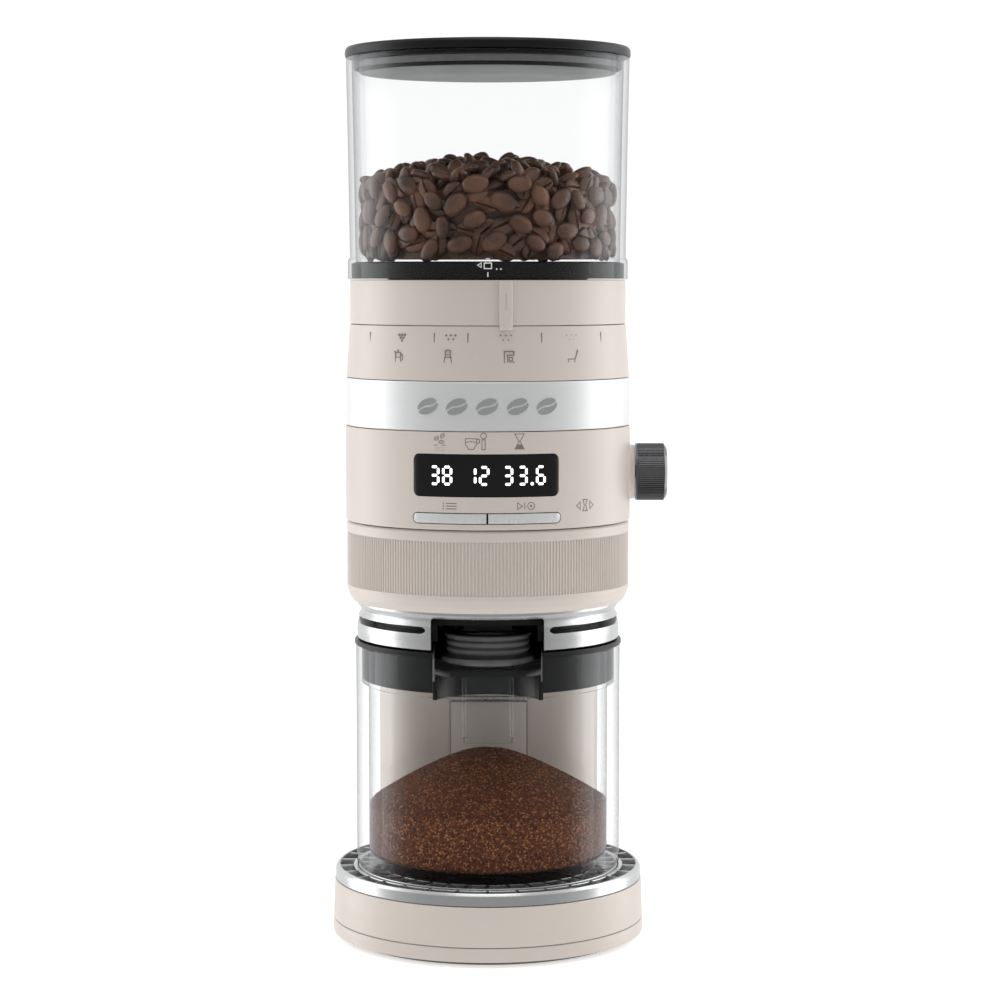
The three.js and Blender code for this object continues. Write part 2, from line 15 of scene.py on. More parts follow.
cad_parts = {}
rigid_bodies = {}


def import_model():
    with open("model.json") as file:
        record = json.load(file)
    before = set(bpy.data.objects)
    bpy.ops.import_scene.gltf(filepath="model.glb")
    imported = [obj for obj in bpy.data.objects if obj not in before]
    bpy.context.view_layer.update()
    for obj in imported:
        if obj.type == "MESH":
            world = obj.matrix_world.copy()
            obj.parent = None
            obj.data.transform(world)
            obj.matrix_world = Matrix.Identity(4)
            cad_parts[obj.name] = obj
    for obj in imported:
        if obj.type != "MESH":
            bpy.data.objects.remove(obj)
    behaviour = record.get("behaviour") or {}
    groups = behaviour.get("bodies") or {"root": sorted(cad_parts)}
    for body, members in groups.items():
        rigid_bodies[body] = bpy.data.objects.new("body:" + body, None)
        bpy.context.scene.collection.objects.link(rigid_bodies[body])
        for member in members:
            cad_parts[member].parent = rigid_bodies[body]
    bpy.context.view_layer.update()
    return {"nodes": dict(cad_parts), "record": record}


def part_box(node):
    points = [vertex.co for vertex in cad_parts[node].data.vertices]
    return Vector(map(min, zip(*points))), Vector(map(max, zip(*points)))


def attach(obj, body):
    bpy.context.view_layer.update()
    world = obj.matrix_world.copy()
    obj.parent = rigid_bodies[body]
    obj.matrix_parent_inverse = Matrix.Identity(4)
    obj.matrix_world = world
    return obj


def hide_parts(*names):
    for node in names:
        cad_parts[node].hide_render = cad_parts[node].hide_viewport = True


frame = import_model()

MM = 0.001
nodes = frame["nodes"]
print("the frame holds", len(nodes), "parts")

# %% [markdown]
# ## Sizes come from the frame
# A fitted cover has to take its size from what it covers. The boxes of the frame's parts could be
# typed in again, but then they could drift apart. Here each one is read, and turned into millimetres,
# because a maker of small appliances thinks in those.


# %% Where a part lies
class Extent:
    """The box round a part of the frame, in millimetres. Its middle lies at x, y, z."""

    def __init__(self, node):
        low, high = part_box(node)
        self.left, self.front, self.foot = (value / MM for value in low)
        self.right, self.back, self.top = (value / MM for value in high)
        self.radius = (self.right - self.left) / 2
        self.sides = (self.left, self.right, self.front, self.back, self.foot, self.top)
        self.x = (self.left + self.right) / 2
        self.y = (self.front + self.back) / 2
        self.z = (self.foot + self.top) / 2


print("the hopper is", round(Extent("bean_hopper").radius * 2, 1), "mm across")

# %% [markdown]
# ## Camera and light
# The machine stands in a white studio, seen from the front and slightly above, with a long lens, so
# that its rings look almost flat. Two tall soft boxes stand beside it and a little behind. They draw
# the bright upright strips on everything that is turned, and leave the middle calmer. Round lamps
# would give hot spots instead. The world is darker in front, as the room behind a camera is.

# %% Camera
CAMERA = {"lens": 101.5, "at": (0.0056, -1.29896, 0.30663), "dip": 4.5912}
scene = bpy.context.scene
scene.view_settings.view_transform = "Standard"


def stand_camera():
    data = bpy.data.cameras.new("camera")
    data.lens = CAMERA["lens"]
    camera = bpy.data.objects.new("camera", data)
    scene.collection.objects.link(camera)
    camera.location = CAMERA["at"]
    camera.rotation_euler = (math.radians(90 - CAMERA["dip"]), 0, 0)
    scene.camera = camera
    return camera


print("the camera stands", round(-stand_camera().location.y, 2), "m in front")

# %% Soft boxes
BOX_HEIGHT = 1.1


def soft_box(name, azimuth, distance, height, width, power, tall=BOX_HEIGHT):
    """A soft box that looks at the machine. Azimuth is counted from the front, towards +X."""
    data = bpy.data.lights.new(name, "AREA")
    data.shape = "RECTANGLE"
    data.size = width
    data.size_y = tall
    data.energy = power
    lamp = bpy.data.objects.new(name, data)
    scene.collection.objects.link(lamp)
    turn = math.radians(azimuth)
    lamp.location = (distance * math.sin(turn), -distance * math.cos(turn), height)
    aim = Vector((0, 0, 0.2)) - lamp.location
    lamp.rotation_euler = aim.to_track_quat("-Z", "Y").to_euler()
    lamp.visible_camera = False


soft_box("left_box", -104, 0.75, 0.25, 0.5, 2.7)
soft_box("right_box", 104, 0.75, 0.25, 0.5, 2.7)
soft_box("top_box", 0, 0.35, 1.5, 0.9, 4.5, tall=0.9)
scene.cycles.transparent_max_bounces = 32
print("three soft boxes")

# %% World and floor
FRONT_GLOW = 0.46
BACK_GLOW = 1.05


def light_world():
    world = bpy.data.worlds.new("studio")
    world.use_nodes = True
    scene.world = world
    tree = world.node_tree
    background = tree.nodes["Background"]
    where = tree.nodes.new("ShaderNodeTexCoord")
    split = tree.nodes.new("ShaderNodeSeparateXYZ")
    ramp = tree.nodes.new("ShaderNodeMapRange")
    ramp.interpolation_type = "SMOOTHSTEP"
    for label, value in (("From Min", -0.75), ("From Max", 0.35), ("To Min", FRONT_GLOW),
                         ("To Max", BACK_GLOW)):
        ramp.inputs[label].default_value = value
    seen = tree.nodes.new("ShaderNodeLightPath")
    either = tree.nodes.new("ShaderNodeMath")
    either.operation = "MAXIMUM"
    tree.links.new(where.outputs["Generated"], split.inputs[0])
    tree.links.new(split.outputs["Y"], ramp.inputs["Value"])
    tree.links.new(ramp.outputs["Result"], either.inputs[0])
    tree.links.new(seen.outputs["Is Camera Ray"], either.inputs[1])
    tree.links.new(either.outputs[0], background.inputs["Strength"])
    background.inputs["Color"].default_value = (1, 1, 1, 1)


def lay_floor(half=30, front=0.55):
    mesh = bpy.data.meshes.new("floor")
    corners = [(-half, -front, 0), (half, -front, 0), (half, half, 0), (-half, half, 0)]
    mesh.from_pydata(corners, [], [(0, 1, 2, 3)])
    floor = bpy.data.objects.new("floor", mesh)
    scene.collection.objects.link(floor)
    paper = bpy.data.materials.new("white paper")
    paper.use_nodes = True
    shader = paper.node_tree.nodes["Principled BSDF"]
    for label, value in (("Base Color", (0.9, 0.9, 0.9, 1)), ("Roughness", 0.9),
                         ("Specular IOR Level", 0.1), ("Emission Color", (1, 1, 1, 1)),
                         ("Emission Strength", 0.42)):
        shader.inputs[label].default_value = value
    mesh.materials.append(paper)
    floor.visible_glossy = False


light_world()
lay_floor()
print("a white floor under a pale sky")

# %% [markdown]
# ## Outlines and turned pieces
# Most of a grinder is turned or drawn round one axis, so most pieces start as half of their section.
# A lathe in Blender could be the Screw modifier or a spin in edit mode. A short function of our own
# keeps the section closed, welds the points on the axis, and lets a corner carry its own rounding.


# %% Rounded outlines
def rounded(corners, steps=5):
    """A closed outline. A corner is (across, up), or (across, up, radius) where it is rounded."""
    points = []
    for i, corner in enumerate(corners):
        here = Vector(corner[:2])
        radius = corner[2] if len(corner) > 2 else 0
        if not radius:
            points.append(here)
            continue
        before = Vector(corners[i - 1][:2]) - here
        after = Vector(corners[(i + 1) % len(corners)][:2]) - here
        reach = radius / math.tan(before.angle(after) / 2)
        reach = min(reach, before.length * 0.49, after.length * 0.49)
        start = here + before.normalized() * reach
        end = here + after.normalized() * reach
        for k in range(steps + 1):
            t = k / steps
            points.append((1 - t) ** 2 * start + 2 * t * (1 - t) * here + t * t * end)
    return points


square = rounded([(0, 0, 1), (4, 0, 1), (4, 4, 1), (0, 4, 1)])
print("a square with round corners has", len(square), "points")

# %% A mesh from points and faces
WELD = 1e-7


def settle(mesh, crease=35):
    """Welds what meets, turns every face outwards and shades it smooth up to the crease angle."""
    work = bmesh.new()
    work.from_mesh(mesh)
    bmesh.ops.remove_doubles(work, verts=work.verts, dist=WELD)
    bmesh.ops.dissolve_degenerate(work, edges=work.edges, dist=WELD)
    bmesh.ops.recalc_face_normals(work, faces=work.faces)
    work.to_mesh(mesh)
    work.free()
    mesh.shade_smooth()
    mesh.set_sharp_from_angle(angle=math.radians(crease))


def build(name, points, faces, crease=35):
    """An object from points in millimetres."""
    mesh = bpy.data.meshes.new(name)
    mesh.from_pydata([Vector(point) * MM for point in points], [], faces)
    settle(mesh, crease)
    piece = bpy.data.objects.new(name, mesh)
    scene.collection.objects.link(piece)
    return piece


print("points closer than", round(WELD / MM, 6), "mm are welded")

# %% The lathe
TURNS = {
    "Z": lambda x, y, z: (x, y, z),
    "X": lambda x, y, z: (z, x, y),
    "Y": lambda x, y, z: (y, z, x),
}


def turn(name, outline, steps=192, axis="Z", centre=(0, 0, 0)):
    """A piece turned from a closed outline of (radius, height along the axis)."""
    place = TURNS[axis]
    points, rings = [], []
    for radius, height in outline:
        on_axis = radius < 1e-6
        ring = []
        for k in range(1 if on_axis else steps):
            a = 2 * math.pi * k / steps
            ring.append(len(points))
            local = place(radius * math.cos(a), radius * math.sin(a), height)
            points.append(Vector(local) + Vector(centre))
        rings.append(ring)
    faces = []
    for one, two in zip(rings, rings[1:] + rings[:1]):
        for k in range(steps):
            corners = (one[k % len(one)], one[(k + 1) % len(one)],
                       two[(k + 1) % len(two)], two[k % len(two)])
            corners = tuple(dict.fromkeys(corners))
            if len(corners) > 2:
                faces.append(corners)
    return build(name, points, faces)


def rod(radius, low, high, steps=192, axis="Z", centre=(0, 0, 0)):
    """A plain round bar to cut with."""
    return turn("cutter", [(0, low), (radius, low), (radius, high), (0, high)], steps, axis, centre)


print("the lathe can turn round", ", ".join(TURNS))

# %% Stacked outlines
def loft(name, rings, crease=35):
    """A closed body through rings of points that lie one above the other."""
    count = len(rings[0])
    points = [point for ring in rings for point in ring]
    faces = [tuple(range(count)), tuple(range((len(rings) - 1) * count, len(rings) * count))]
    for layer in range(len(rings) - 1):
        low, high = layer * count, (layer + 1) * count
        for k in range(count):
            n = (k + 1) % count
            faces.append((low + k, low + n, high + n, high + k))
    return build(name, points, faces, crease)


def slab(name, left, right, front, back, foot, top, edge=0, steps=4):
    """A block whose upright edges are rounded."""
    corners = [(left, front, edge), (right, front, edge), (right, back, edge), (left, back, edge)]
    outline = rounded(corners, steps)
    return loft(name, [[(x, y, z) for x, y in outline] for z in (foot, top)])


print("stacked outlines and blocks are ready")

# %% Cuts, joins and soft edges
def bake(piece, crease=35):
    """Makes the piece's modifiers part of its mesh."""
    shown = piece.evaluated_get(bpy.context.evaluated_depsgraph_get())
    mesh = bpy.data.meshes.new_from_object(shown)
    piece.modifiers.clear()
    piece.data = mesh
    mesh.name = piece.name
    settle(mesh, crease)
    return piece


def work_on(piece, tools, operation, crease=35):
    for tool in tools:
        modifier = piece.modifiers.new(operation.lower(), "BOOLEAN")
        modifier.operation = operation
        modifier.object = tool
        modifier.solver = "EXACT"
    bake(piece, crease)
    for tool in tools:
        bpy.data.objects.remove(tool)
    return piece


def carve(piece, *tools):
    return work_on(piece, tools, "DIFFERENCE")


def fuse(piece, *tools):
    return work_on(piece, tools, "UNION")


def soften(piece, width, steps=2, angle=40):
    """Rounds the edges that are sharper than the angle. Width in millimetres."""
    bevel = piece.modifiers.new("soft edges", "BEVEL")
    bevel.width = width * MM
    bevel.segments = steps
    bevel.limit_method = "ANGLE"
    bevel.angle_limit = math.radians(angle)
    return bake(piece)


print("cuts, joins and soft edges are ready")

# %% [markdown]
# ## Plates that follow the drum
# The display lens, the buttons, the digits and the printed signs all lie on a cylinder. A flat mesh
# could be bent with a Simple Deform, but drawing in (along the drum, up) and rolling each point on to
# the radius is exact, and one function then serves for lenses and for ink.


# %% Rolling on to the drum
def rolled(along, up, radius, drum):
    """The point that is `along` mm to the right of the front line, measured on the drum's skin."""
    a = along / drum
    return (radius * math.sin(a), -radius * math.cos(a), up)


def drum_plate(name, left, right, foot, top, inner, outer, corner=0, drum=None, step=1.0):
    """A plate on the drum with rounded corners. Left and right are seen from the front, in mm."""
    drum = drum or outer
    left, right = (drum * math.asin(x / drum) for x in (left, right))
    columns = []
    if corner:
        for k in range(7):
            a = math.pi / 2 * k / 6
            columns.append((left + corner * (1 - math.cos(a)), corner * (1 - math.sin(a))))
    else:
        columns.append((left, 0))
    middle = max(2, int((right - left - 2 * corner) / step))
    for k in range(1, middle):
        columns.append((left + corner + (right - left - 2 * corner) * k / middle, 0))
    columns += [(left + right - along, rise) for along, rise in reversed(columns[:7 if corner else 1])]
    rings = []
    for along, rise in columns:
        low, high = foot + rise, top - rise
        rings.append([rolled(along, low, inner, drum), rolled(along, low, outer, drum),
                      rolled(along, high, outer, drum), rolled(along, high, inner, drum)])
    return loft(name, rings)


print("10 mm round a drum of radius 70 lies at", [round(value, 2) for value in rolled(10, 0, 70, 70)])

# %% [markdown]
# ## Printed signs
# A sign is ink, a few hundredths of a millimetre thick. It could be a texture, but a thin closed
# ribbon keeps its crisp edge at any distance and is part of the mesh. `Print` gathers ribbons and
# patches for one ink and rolls them on to the drum together.


# %% Ink
class Print:
    """Ribbons and patches of one ink on a drum of the given radius."""

    def __init__(self, name, drum, thickness=0.05, base=0.02):
        self.name = name
        self.drum = drum
        self.low = drum - base
        self.high = drum + thickness
        self.points = []
        self.faces = []

    def stroke(self, line, width=0.45, at=(0, 0), closed=False):
        """A ribbon along (along, up) points. A third number on a point is its own width."""
        spots = [Vector(spot[:2]) + Vector(at) for spot in line]
        wide = [spot[2] if len(spot) > 2 else width for spot in line]
        count = len(spots)
        first = len(self.points)
        for i, spot in enumerate(spots):
            before = spots[i - 1] if i or closed else spot
            after = spots[(i + 1) % count] if i < count - 1 or closed else spot
            sides = [(b - a).normalized() for a, b in ((before, spot), (spot, after)) if a != b]
            way = sum(sides, Vector((0, 0))).normalized()
            side = Vector((-way.y, way.x))
            miter = max(0.5, side.dot(Vector((-sides[0].y, sides[0].x))))
            reach = side * (wide[i] / 2 / miter)
            for edge in (spot - reach, spot + reach):
                for radius in (self.low, self.high):
                    self.points.append(rolled(edge.x, edge.y, radius, self.drum))
        for i in range(count if closed else count - 1):
            a = first + 4 * i
            b = first + 4 * ((i + 1) % count)
            for j, k in ((0, 1), (1, 3), (3, 2), (2, 0)):
                self.faces.append((a + j, a + k, b + k, b + j))
        if not closed:
            last = first + 4 * (count - 1)
            self.faces += [(first, first + 2, first + 3, first + 1),
                           (last, last + 1, last + 3, last + 2)]

    def patch(self, outline, at=(0, 0)):
        """A filled shape, small enough to lie flat."""
        first = len(self.points)
        count = len(outline)
        for radius in (self.low, self.high):
            for along, up in outline:
                self.points.append(rolled(along + at[0], up + at[1], radius, self.drum))
        self.faces += [tuple(range(first, first + count)),
                       tuple(range(first + count, first + 2 * count))]
        for k in range(count):
            n = (k + 1) % count
            self.faces.append((first + k, first + n, first + count + n, first + count + k))

    def oval(self, centre, wide, high, tilt=0, filled=False, width=0.4, steps=16):
        turnabout = Matrix.Rotation(math.radians(tilt), 2)
        angles = [2 * math.pi * k / steps for k in range(steps)]
        ring = [turnabout @ Vector((wide * math.cos(a), high * math.sin(a))) for a in angles]
        if filled:
            self.patch(ring, centre)
        else:
            self.stroke(ring, width, centre, closed=True)

    def made(self):
        return build(self.name, self.points, self.faces)


print("lathe, loft, drum plates and ink are ready")

# %% [markdown]
# ## Finishes
# Each finish is a small tree of nodes. Written out node by node they are hard to read, so `Wire`
# wraps a socket and lets Python's own signs add the Math nodes, and `Finish.add` makes any other
# node from its settings and the values of its sockets. Sizes of grain are real: a noise scale of
# 4000 in metres is a quarter of a millimetre.


# %% A socket that can be reckoned with
class Wire:
    """A shader value. Adding, multiplying or raising to a power makes a Math node."""

    def __init__(self, finish, socket):
        self.finish = finish
        self.socket = socket

    def reckon(self, operation, *values):
        sockets = dict(enumerate(values))
        return self.finish.add("ShaderNodeMath", {"operation": operation}, sockets)

    def __add__(self, other):
        return self.reckon("ADD", self, other)

    def __mul__(self, other):
        return self.reckon("MULTIPLY", self, other)

    def __pow__(self, other):
        return self.reckon("POWER", self, other)


print("a wire can be added, multiplied and raised to a power")

# %% A finish
class Finish:
    """A material round one Principled shader. Plain numbers go on the shader's own sockets."""

    def __init__(self, name, colour, roughness, metallic=0.0, **constants):
        self.material = bpy.data.materials.new(name)
        self.material.use_nodes = True
        self.tree = self.material.node_tree
        self.shader = self.tree.nodes["Principled BSDF"]
        self.colour = colour
        self.set("Base Color", (*colour, 1))
        self.set("Roughness", roughness)
        self.set("Metallic", metallic)
        for label, value in constants.items():
            self.set(label.replace("_", " "), value)
        self.place = self.add("ShaderNodeTexCoord", output="Object")

    def put(self, socket, value):
        if isinstance(value, Wire):
            self.tree.links.new(value.socket, socket)
        else:
            socket.default_value = value

    def set(self, label, value):
        self.put(self.shader.inputs[label], value)

    def add(self, kind, settings=None, sockets=None, output=0):
        node = self.tree.nodes.new(kind)
        for label, value in (settings or {}).items():
            setattr(node, label, value)
        for label, value in (sockets or {}).items():
            self.put(node.inputs[label], value)
        return Wire(self, node.outputs[output])

    def grain(self, scale, detail=3.0, stretch=(1, 1, 1)):
        """Noise from 0 to 1. A bigger scale is finer, and stretch multiplies it along X, Y and Z."""
        sockets = {"Vector": self.place, "Scale": stretch}
        place = self.add("ShaderNodeMapping", {}, sockets)
        sockets = {"Vector": place, "Scale": scale, "Detail": detail}
        return self.add("ShaderNodeTexNoise", {}, sockets)

    def mix(self, factor, one, two):
        node = self.tree.nodes.new("ShaderNodeMix")
        node.data_type = "RGBA"
        self.put(node.inputs["Factor"], factor)
        for index, value in ((6, one), (7, two)):
            value = value if isinstance(value, Wire) else (*value, 1)
            self.put(node.inputs[index], value)
        return Wire(self, node.outputs[2])

    def shade(self, factor, spread=0.12):
        """The base colour, a little darker and lighter with the factor."""
        dark = tuple(value * (1 - spread) for value in self.colour)
        light = tuple(min(1, value * (1 + spread)) for value in self.colour)
        self.set("Base Color", self.mix(factor, dark, light))

    def bump(self, height, depth):
        """Depth in millimetres."""
        sockets = {"Height": height, "Distance": depth * MM, "Strength": 1.0}
        self.set("Normal", self.add("ShaderNodeBump", {}, sockets))


print("a finish can be shaded, grained and bumped")

# %% [markdown]
# ### Painted, plated and moulded
# The paint is a satin powder coat: an even colour with a very fine orange peel. The silver parts are
# aluminium, brushed round the band and polished on the castings. Black mouldings have a fine spark
# texture, and rubber is duller still, with a trace of dust.


# %% Finishes with a grain
def grained(name, colour, roughness, metallic=0.0, tint=None, shine=None, coat=None, relief=None,
            **constants):
    """A finish whose shade, roughness, coat and relief each follow a grain.

    A grain is (scale, detail, stretch). Tint is (grain, spread), shine and coat are (grain, swing,
    least), and relief is (grain, depth in mm).
    """
    finish = Finish(name, colour, roughness, metallic, **constants)
    if tint:
        finish.shade(finish.grain(*tint[0]), tint[1])
    for label, given in (("Roughness", shine), ("Coat Weight", coat)):
        if given:
            finish.set(label, finish.grain(*given[0]) * given[1] + given[2])
    if relief:
        finish.bump(finish.grain(*relief[0]), relief[1])
    return finish.material


def plain_moulding(name, colour, roughness, metallic=0.0):
    skin = (900, 3)
    return grained(name, colour, roughness, metallic, (skin, 0.12), (skin, 0.15, roughness - 0.07),
                   relief=(skin, 0.015))


print("one grain can drive shade, roughness, coat and relief")

# %% Paint and metals
PEEL = (1400, 2)
LINES = (900, 3, (0.05, 0.05, 6))
WAVES = (60, 3)
SCRATCHES = (1200, 4, (1, 1, 0.1))
SAND = (1500, 5)
HAZE = (300, 3)
finishes = {
    "paint": grained("warm beige powder coat", (0.60, 0.535, 0.485), 0.4, 0.0, ((22, 2), 0.025),
                     (PEEL, 0.1, 0.34), ((30, 2), 0.1, 0.1), (PEEL, 0.012), Coat_Roughness=0.3),
    "brushed": grained("brushed aluminium", (0.74, 0.745, 0.75), 0.45, 0.55, (LINES, 0.07),
                       (LINES, 0.2, 0.32), relief=(LINES, 0.02)),
    "polished": grained("polished casting", (0.54, 0.545, 0.55), 0.2, 1.0, ((500, 3), 0.05),
                        (WAVES, 0.14, 0.2), relief=(WAVES, 0.06)),
    "steel": grained("satin steel", (0.55, 0.56, 0.57), 0.35, 1.0, (SCRATCHES, 0.1),
                     (SCRATCHES, 0.2, 0.25), relief=(SCRATCHES, 0.01)),
    "cast": grained("sand casting", (0.52, 0.52, 0.53), 0.55, 0.9, ((80, 3), 0.15),
                    (SAND, 0.25, 0.45), relief=(SAND, 0.06)),
    "plating": grained("dark nickel plating", (0.17, 0.17, 0.175), 0.2, 1.0, (HAZE, 0.12),
                       (HAZE, 0.12, 0.14)),
    "bronze": plain_moulding("sintered bronze", (0.5, 0.34, 0.15), 0.4, 1.0),
}
print("paint and metals:", ", ".join(finishes))

# %% Plastics and rubber
DUST = (250, 4)
finishes.update({
    "black": grained("black moulding", (0.005, 0.005, 0.0055), 0.35, 0.0, ((3500, 2), 0.1),
                     ((40, 2), 0.1, 0.3), Specular_IOR_Level=0.22),
    "lens": grained("display lens", (0.004, 0.004, 0.005), 0.06, 0.0, None, ((60, 2), 0.05, 0.05),
                    ((10, 1), 0.1, 0.1), Coat_Roughness=0.03, Specular_IOR_Level=0.2),
    "rubber": grained("grey rubber", (0.13, 0.13, 0.134), 0.45, 0.0, (DUST, 0.3),
                      (DUST, 0.25, 0.38), relief=((3000, 2), 0.012)),
    "board": plain_moulding("green circuit board", (0.02, 0.12, 0.06), 0.45),
    "nylon": plain_moulding("gear nylon", (0.72, 0.69, 0.60), 0.5),
})
print("with plastics and rubber there are", len(finishes), "finishes")

# %% [markdown]
# ### Clear walls
# A real glass shader bends every ray, and so shuts lamps out of what stands behind it until very many
# samples are taken. A jar's wall is even, so it hardly shifts what is seen through it. So this finish
# lets the ray go straight through, with the faintest tint, and lays a grey reflection over it. The
# reflection is weak face on and grows quickly towards the edge, where it draws the wall's outline.


# %% Clear finish
CLEAR = {"gloss": 0.03, "edge": 0.85, "face": 0.012, "tint": (0.985, 0.988, 0.988, 1)}


def clear(name):
    wall = Finish(name, (0.93, 0.95, 0.96), CLEAR["gloss"])
    edge = wall.add("ShaderNodeLayerWeight", {}, {"Blend": 0.5}, "Facing")
    share = edge ** 4 * CLEAR["edge"] + CLEAR["face"]
    through = wall.add("ShaderNodeBsdfTransparent", {}, {"Color": CLEAR["tint"]})
    glint = wall.add("ShaderNodeBsdfGlossy", {}, {"Color": (0.5, 0.51, 0.52, 1),
                                                  "Roughness": CLEAR["gloss"]})
    mixed = wall.add("ShaderNodeMixShader", {}, {0: share, 1: through, 2: glint})
    surface = wall.tree.nodes["Material Output"].inputs["Surface"]
    wall.tree.links.new(mixed.socket, surface)
    wall.tree.nodes.remove(wall.shader)
    return wall.material


finishes["hopper"] = clear("clear hopper plastic")
finishes["glass"] = clear("jar glass")
print("face on, the share of the reflection in a clear wall is", CLEAR["face"])

# %% [markdown]
# ### Coffee
# A roasted bean is brown with a faint oily shine, and no two are the same shade. Slow noise shifts
# the shade from bean to bean, and fine noise mottles the skin. Ground coffee is a mix of dark grains
# and paler chaff, so each cell of a Voronoi pattern gets its own shade.


# %% Beans and grounds
def roasted():
    skin = Finish("roasted bean", (0.115, 0.052, 0.026), 0.42)
    mottle = skin.grain(700, 4)
    batch = skin.grain(75, 1)
    shade = mottle * 0.4 + batch
    stops = skin.add("ShaderNodeMapRange", {}, {"Value": shade, "From Min": 0.45, "From Max": 0.95})
    skin.set("Base Color", skin.mix(stops, (0.036, 0.014, 0.007), (0.18, 0.078, 0.038)))
    skin.set("Roughness", mottle * 0.25 + 0.28)
    skin.bump(mottle, 0.12)
    return skin.material


def milled():
    heap = Finish("ground coffee", (0.07, 0.027, 0.013), 0.75, Specular_IOR_Level=0.15)
    sockets = {"Vector": heap.place, "Scale": 1500.0}
    cells = heap.add("ShaderNodeTexVoronoi", {}, sockets, "Color")
    shade = heap.add("ShaderNodeSeparateColor", {}, {"Color": cells})
    dull = heap.mix(shade, (0.03, 0.010, 0.0045), (0.20, 0.064, 0.026))
    bright = heap.add("ShaderNodeMath", {"operation": "GREATER_THAN"}, {0: shade, 1: 0.87})
    heap.set("Base Color", heap.mix(bright * 0.75, dull, (0.42, 0.18, 0.075)))
    heap.set("Roughness", shade * 0.3 + 0.55)
    heap.bump(heap.grain(1500, 3), 0.5)
    return heap.material


finishes["bean"] = roasted()
finishes["grounds"] = milled()
print("coffee makes it", len(finishes), "finishes")

# %% Print and light
def ink(name, colour, glow=0.0):
    print_coat = Finish(name, colour, 0.5)
    print_coat.shade(print_coat.grain(2500, 2), 0.1)
    if glow:
        print_coat.set("Emission Color", (1, 1, 1, 1))
        print_coat.set("Emission Strength", glow)
    return print_coat.material


finishes.update({
    "ink": ink("grey print", (0.20, 0.165, 0.14)), "white ink": ink("white print", (0.8, 0.8, 0.8)),
    "digits": ink("lit digits", (0.9, 0.9, 0.9), 1.4),
})
print(len(finishes), "finishes")

# %% [markdown]
# ### Handing a piece over
# Every piece gets its finish, rides on the moving body that it belongs to, and hides the plain
# parts of the frame that it stands for.


# %% Dress and carry
body_of = {node: name for name, members in frame["record"]["behaviour"]["bodies"].items()
           for node in members}


def dress(piece, finish, *stands_for, body=None):
    """The last step for a piece: finish, body, and the parts of the frame that it replaces."""
    piece.data.materials.clear()
    piece.data.materials.append(finishes[finish])
    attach(piece, body or body_of[stands_for[0]])
    if stands_for:
        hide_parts(*stands_for)
    print(f"{piece.name}: {len(piece.data.polygons)} faces")


# %% [markdown]
# ## Growing what repeats
# Ribs, knurls, vents and beans repeat by a rule, so Geometry Nodes place them. `Growth` builds a
# tree node by node, as `Finish` does for shaders. Two trees are enough: one turns or shifts copies
# of a piece by even steps, and one scatters a piece over a surface.


# %% A tree of Geometry Nodes
class Growth:
    """A Geometry Nodes tree with named inputs. It ends in Realize Instances and Set Material."""

    def __init__(self, name, inputs):
        self.group = bpy.data.node_groups.new(name, "GeometryNodeTree")
        face = self.group.interface
        face.new_socket("Geometry", in_out="INPUT", socket_type="NodeSocketGeometry")
        self.ids = {}
        for label, kind in {**inputs, "Finish": "NodeSocketMaterial"}.items():
            socket = face.new_socket(label, in_out="INPUT", socket_type=kind)
            self.ids[label] = socket.identifier
        face.new_socket("Geometry", in_out="OUTPUT", socket_type="NodeSocketGeometry")
        self.start = self.group.nodes.new("NodeGroupInput")

    def given(self, label):
        return self.start.outputs[label]

    def add(self, kind, settings=None, sockets=None, output=0):
        node = self.group.nodes.new(kind)
        for label, value in (settings or {}).items():
            setattr(node, label, value)
        for label, value in (sockets or {}).items():
            if isinstance(value, bpy.types.NodeSocket):
                self.group.links.new(value, node.inputs[label])
            else:
                node.inputs[label].default_value = value
        return node.outputs[output]

    def close(self, instances):
        real = self.add("GeometryNodeRealizeInstances", {}, {"Geometry": instances})
        sockets = {"Geometry": real, "Material": self.given("Finish")}
        dressed = self.add("GeometryNodeSetMaterial", {}, sockets)
        end = self.group.nodes.new("NodeGroupOutput")
        self.group.links.new(dressed, end.inputs["Geometry"])
        return self

    def on(self, piece, crease=35, **values):
        """Grows the tree on a piece and makes the result its plain mesh."""
        modifier = piece.modifiers.new(self.group.name, "NODES")
        modifier.node_group = self.group
        for label, value in values.items():
            modifier[self.ids[label]] = value
        return bake(piece, crease)


print("a tree ends in Realize Instances and Set Material")

# %% Even steps
def even_steps():
    tree = Growth("even steps", {
        "Count": "NodeSocketInt", "Turn": "NodeSocketVector", "Shift": "NodeSocketVector",
        "Centre": "NodeSocketVector",
    })
    sockets = {"Count": tree.given("Count"), "Start Location": tree.given("Centre"),
               "Offset": tree.given("Shift")}
    spots = tree.add("GeometryNodeMeshLine", {"mode": "OFFSET"}, sockets)
    step = tree.add("GeometryNodeInputIndex")
    turned = tree.add("ShaderNodeVectorMath", {"operation": "SCALE"},
                      {"Vector": tree.given("Turn"), "Scale": step})
    copies = tree.add("GeometryNodeInstanceOnPoints", {}, {
        "Points": spots, "Instance": tree.given("Geometry"), "Rotation": turned,
    })
    return tree.close(copies)


stepped = even_steps()


def ring_of(piece, count, finish, centre=(0, 0, 0), axis=(0, 0, 1)):
    """Copies of a piece, evenly round an axis through the centre, in millimetres."""
    step = Vector(axis) * (2 * math.pi / count)
    return stepped.on(piece, Count=count, Turn=step, Shift=(0, 0, 0),
                      Centre=Vector(centre) * MM, Finish=finishes[finish])


def row_of(piece, count, shift, finish):
    return stepped.on(piece, Count=count, Turn=(0, 0, 0), Shift=Vector(shift) * MM,
                      Centre=(0, 0, 0), Finish=finishes[finish])


print("even steps are told", ", ".join(stepped.ids))

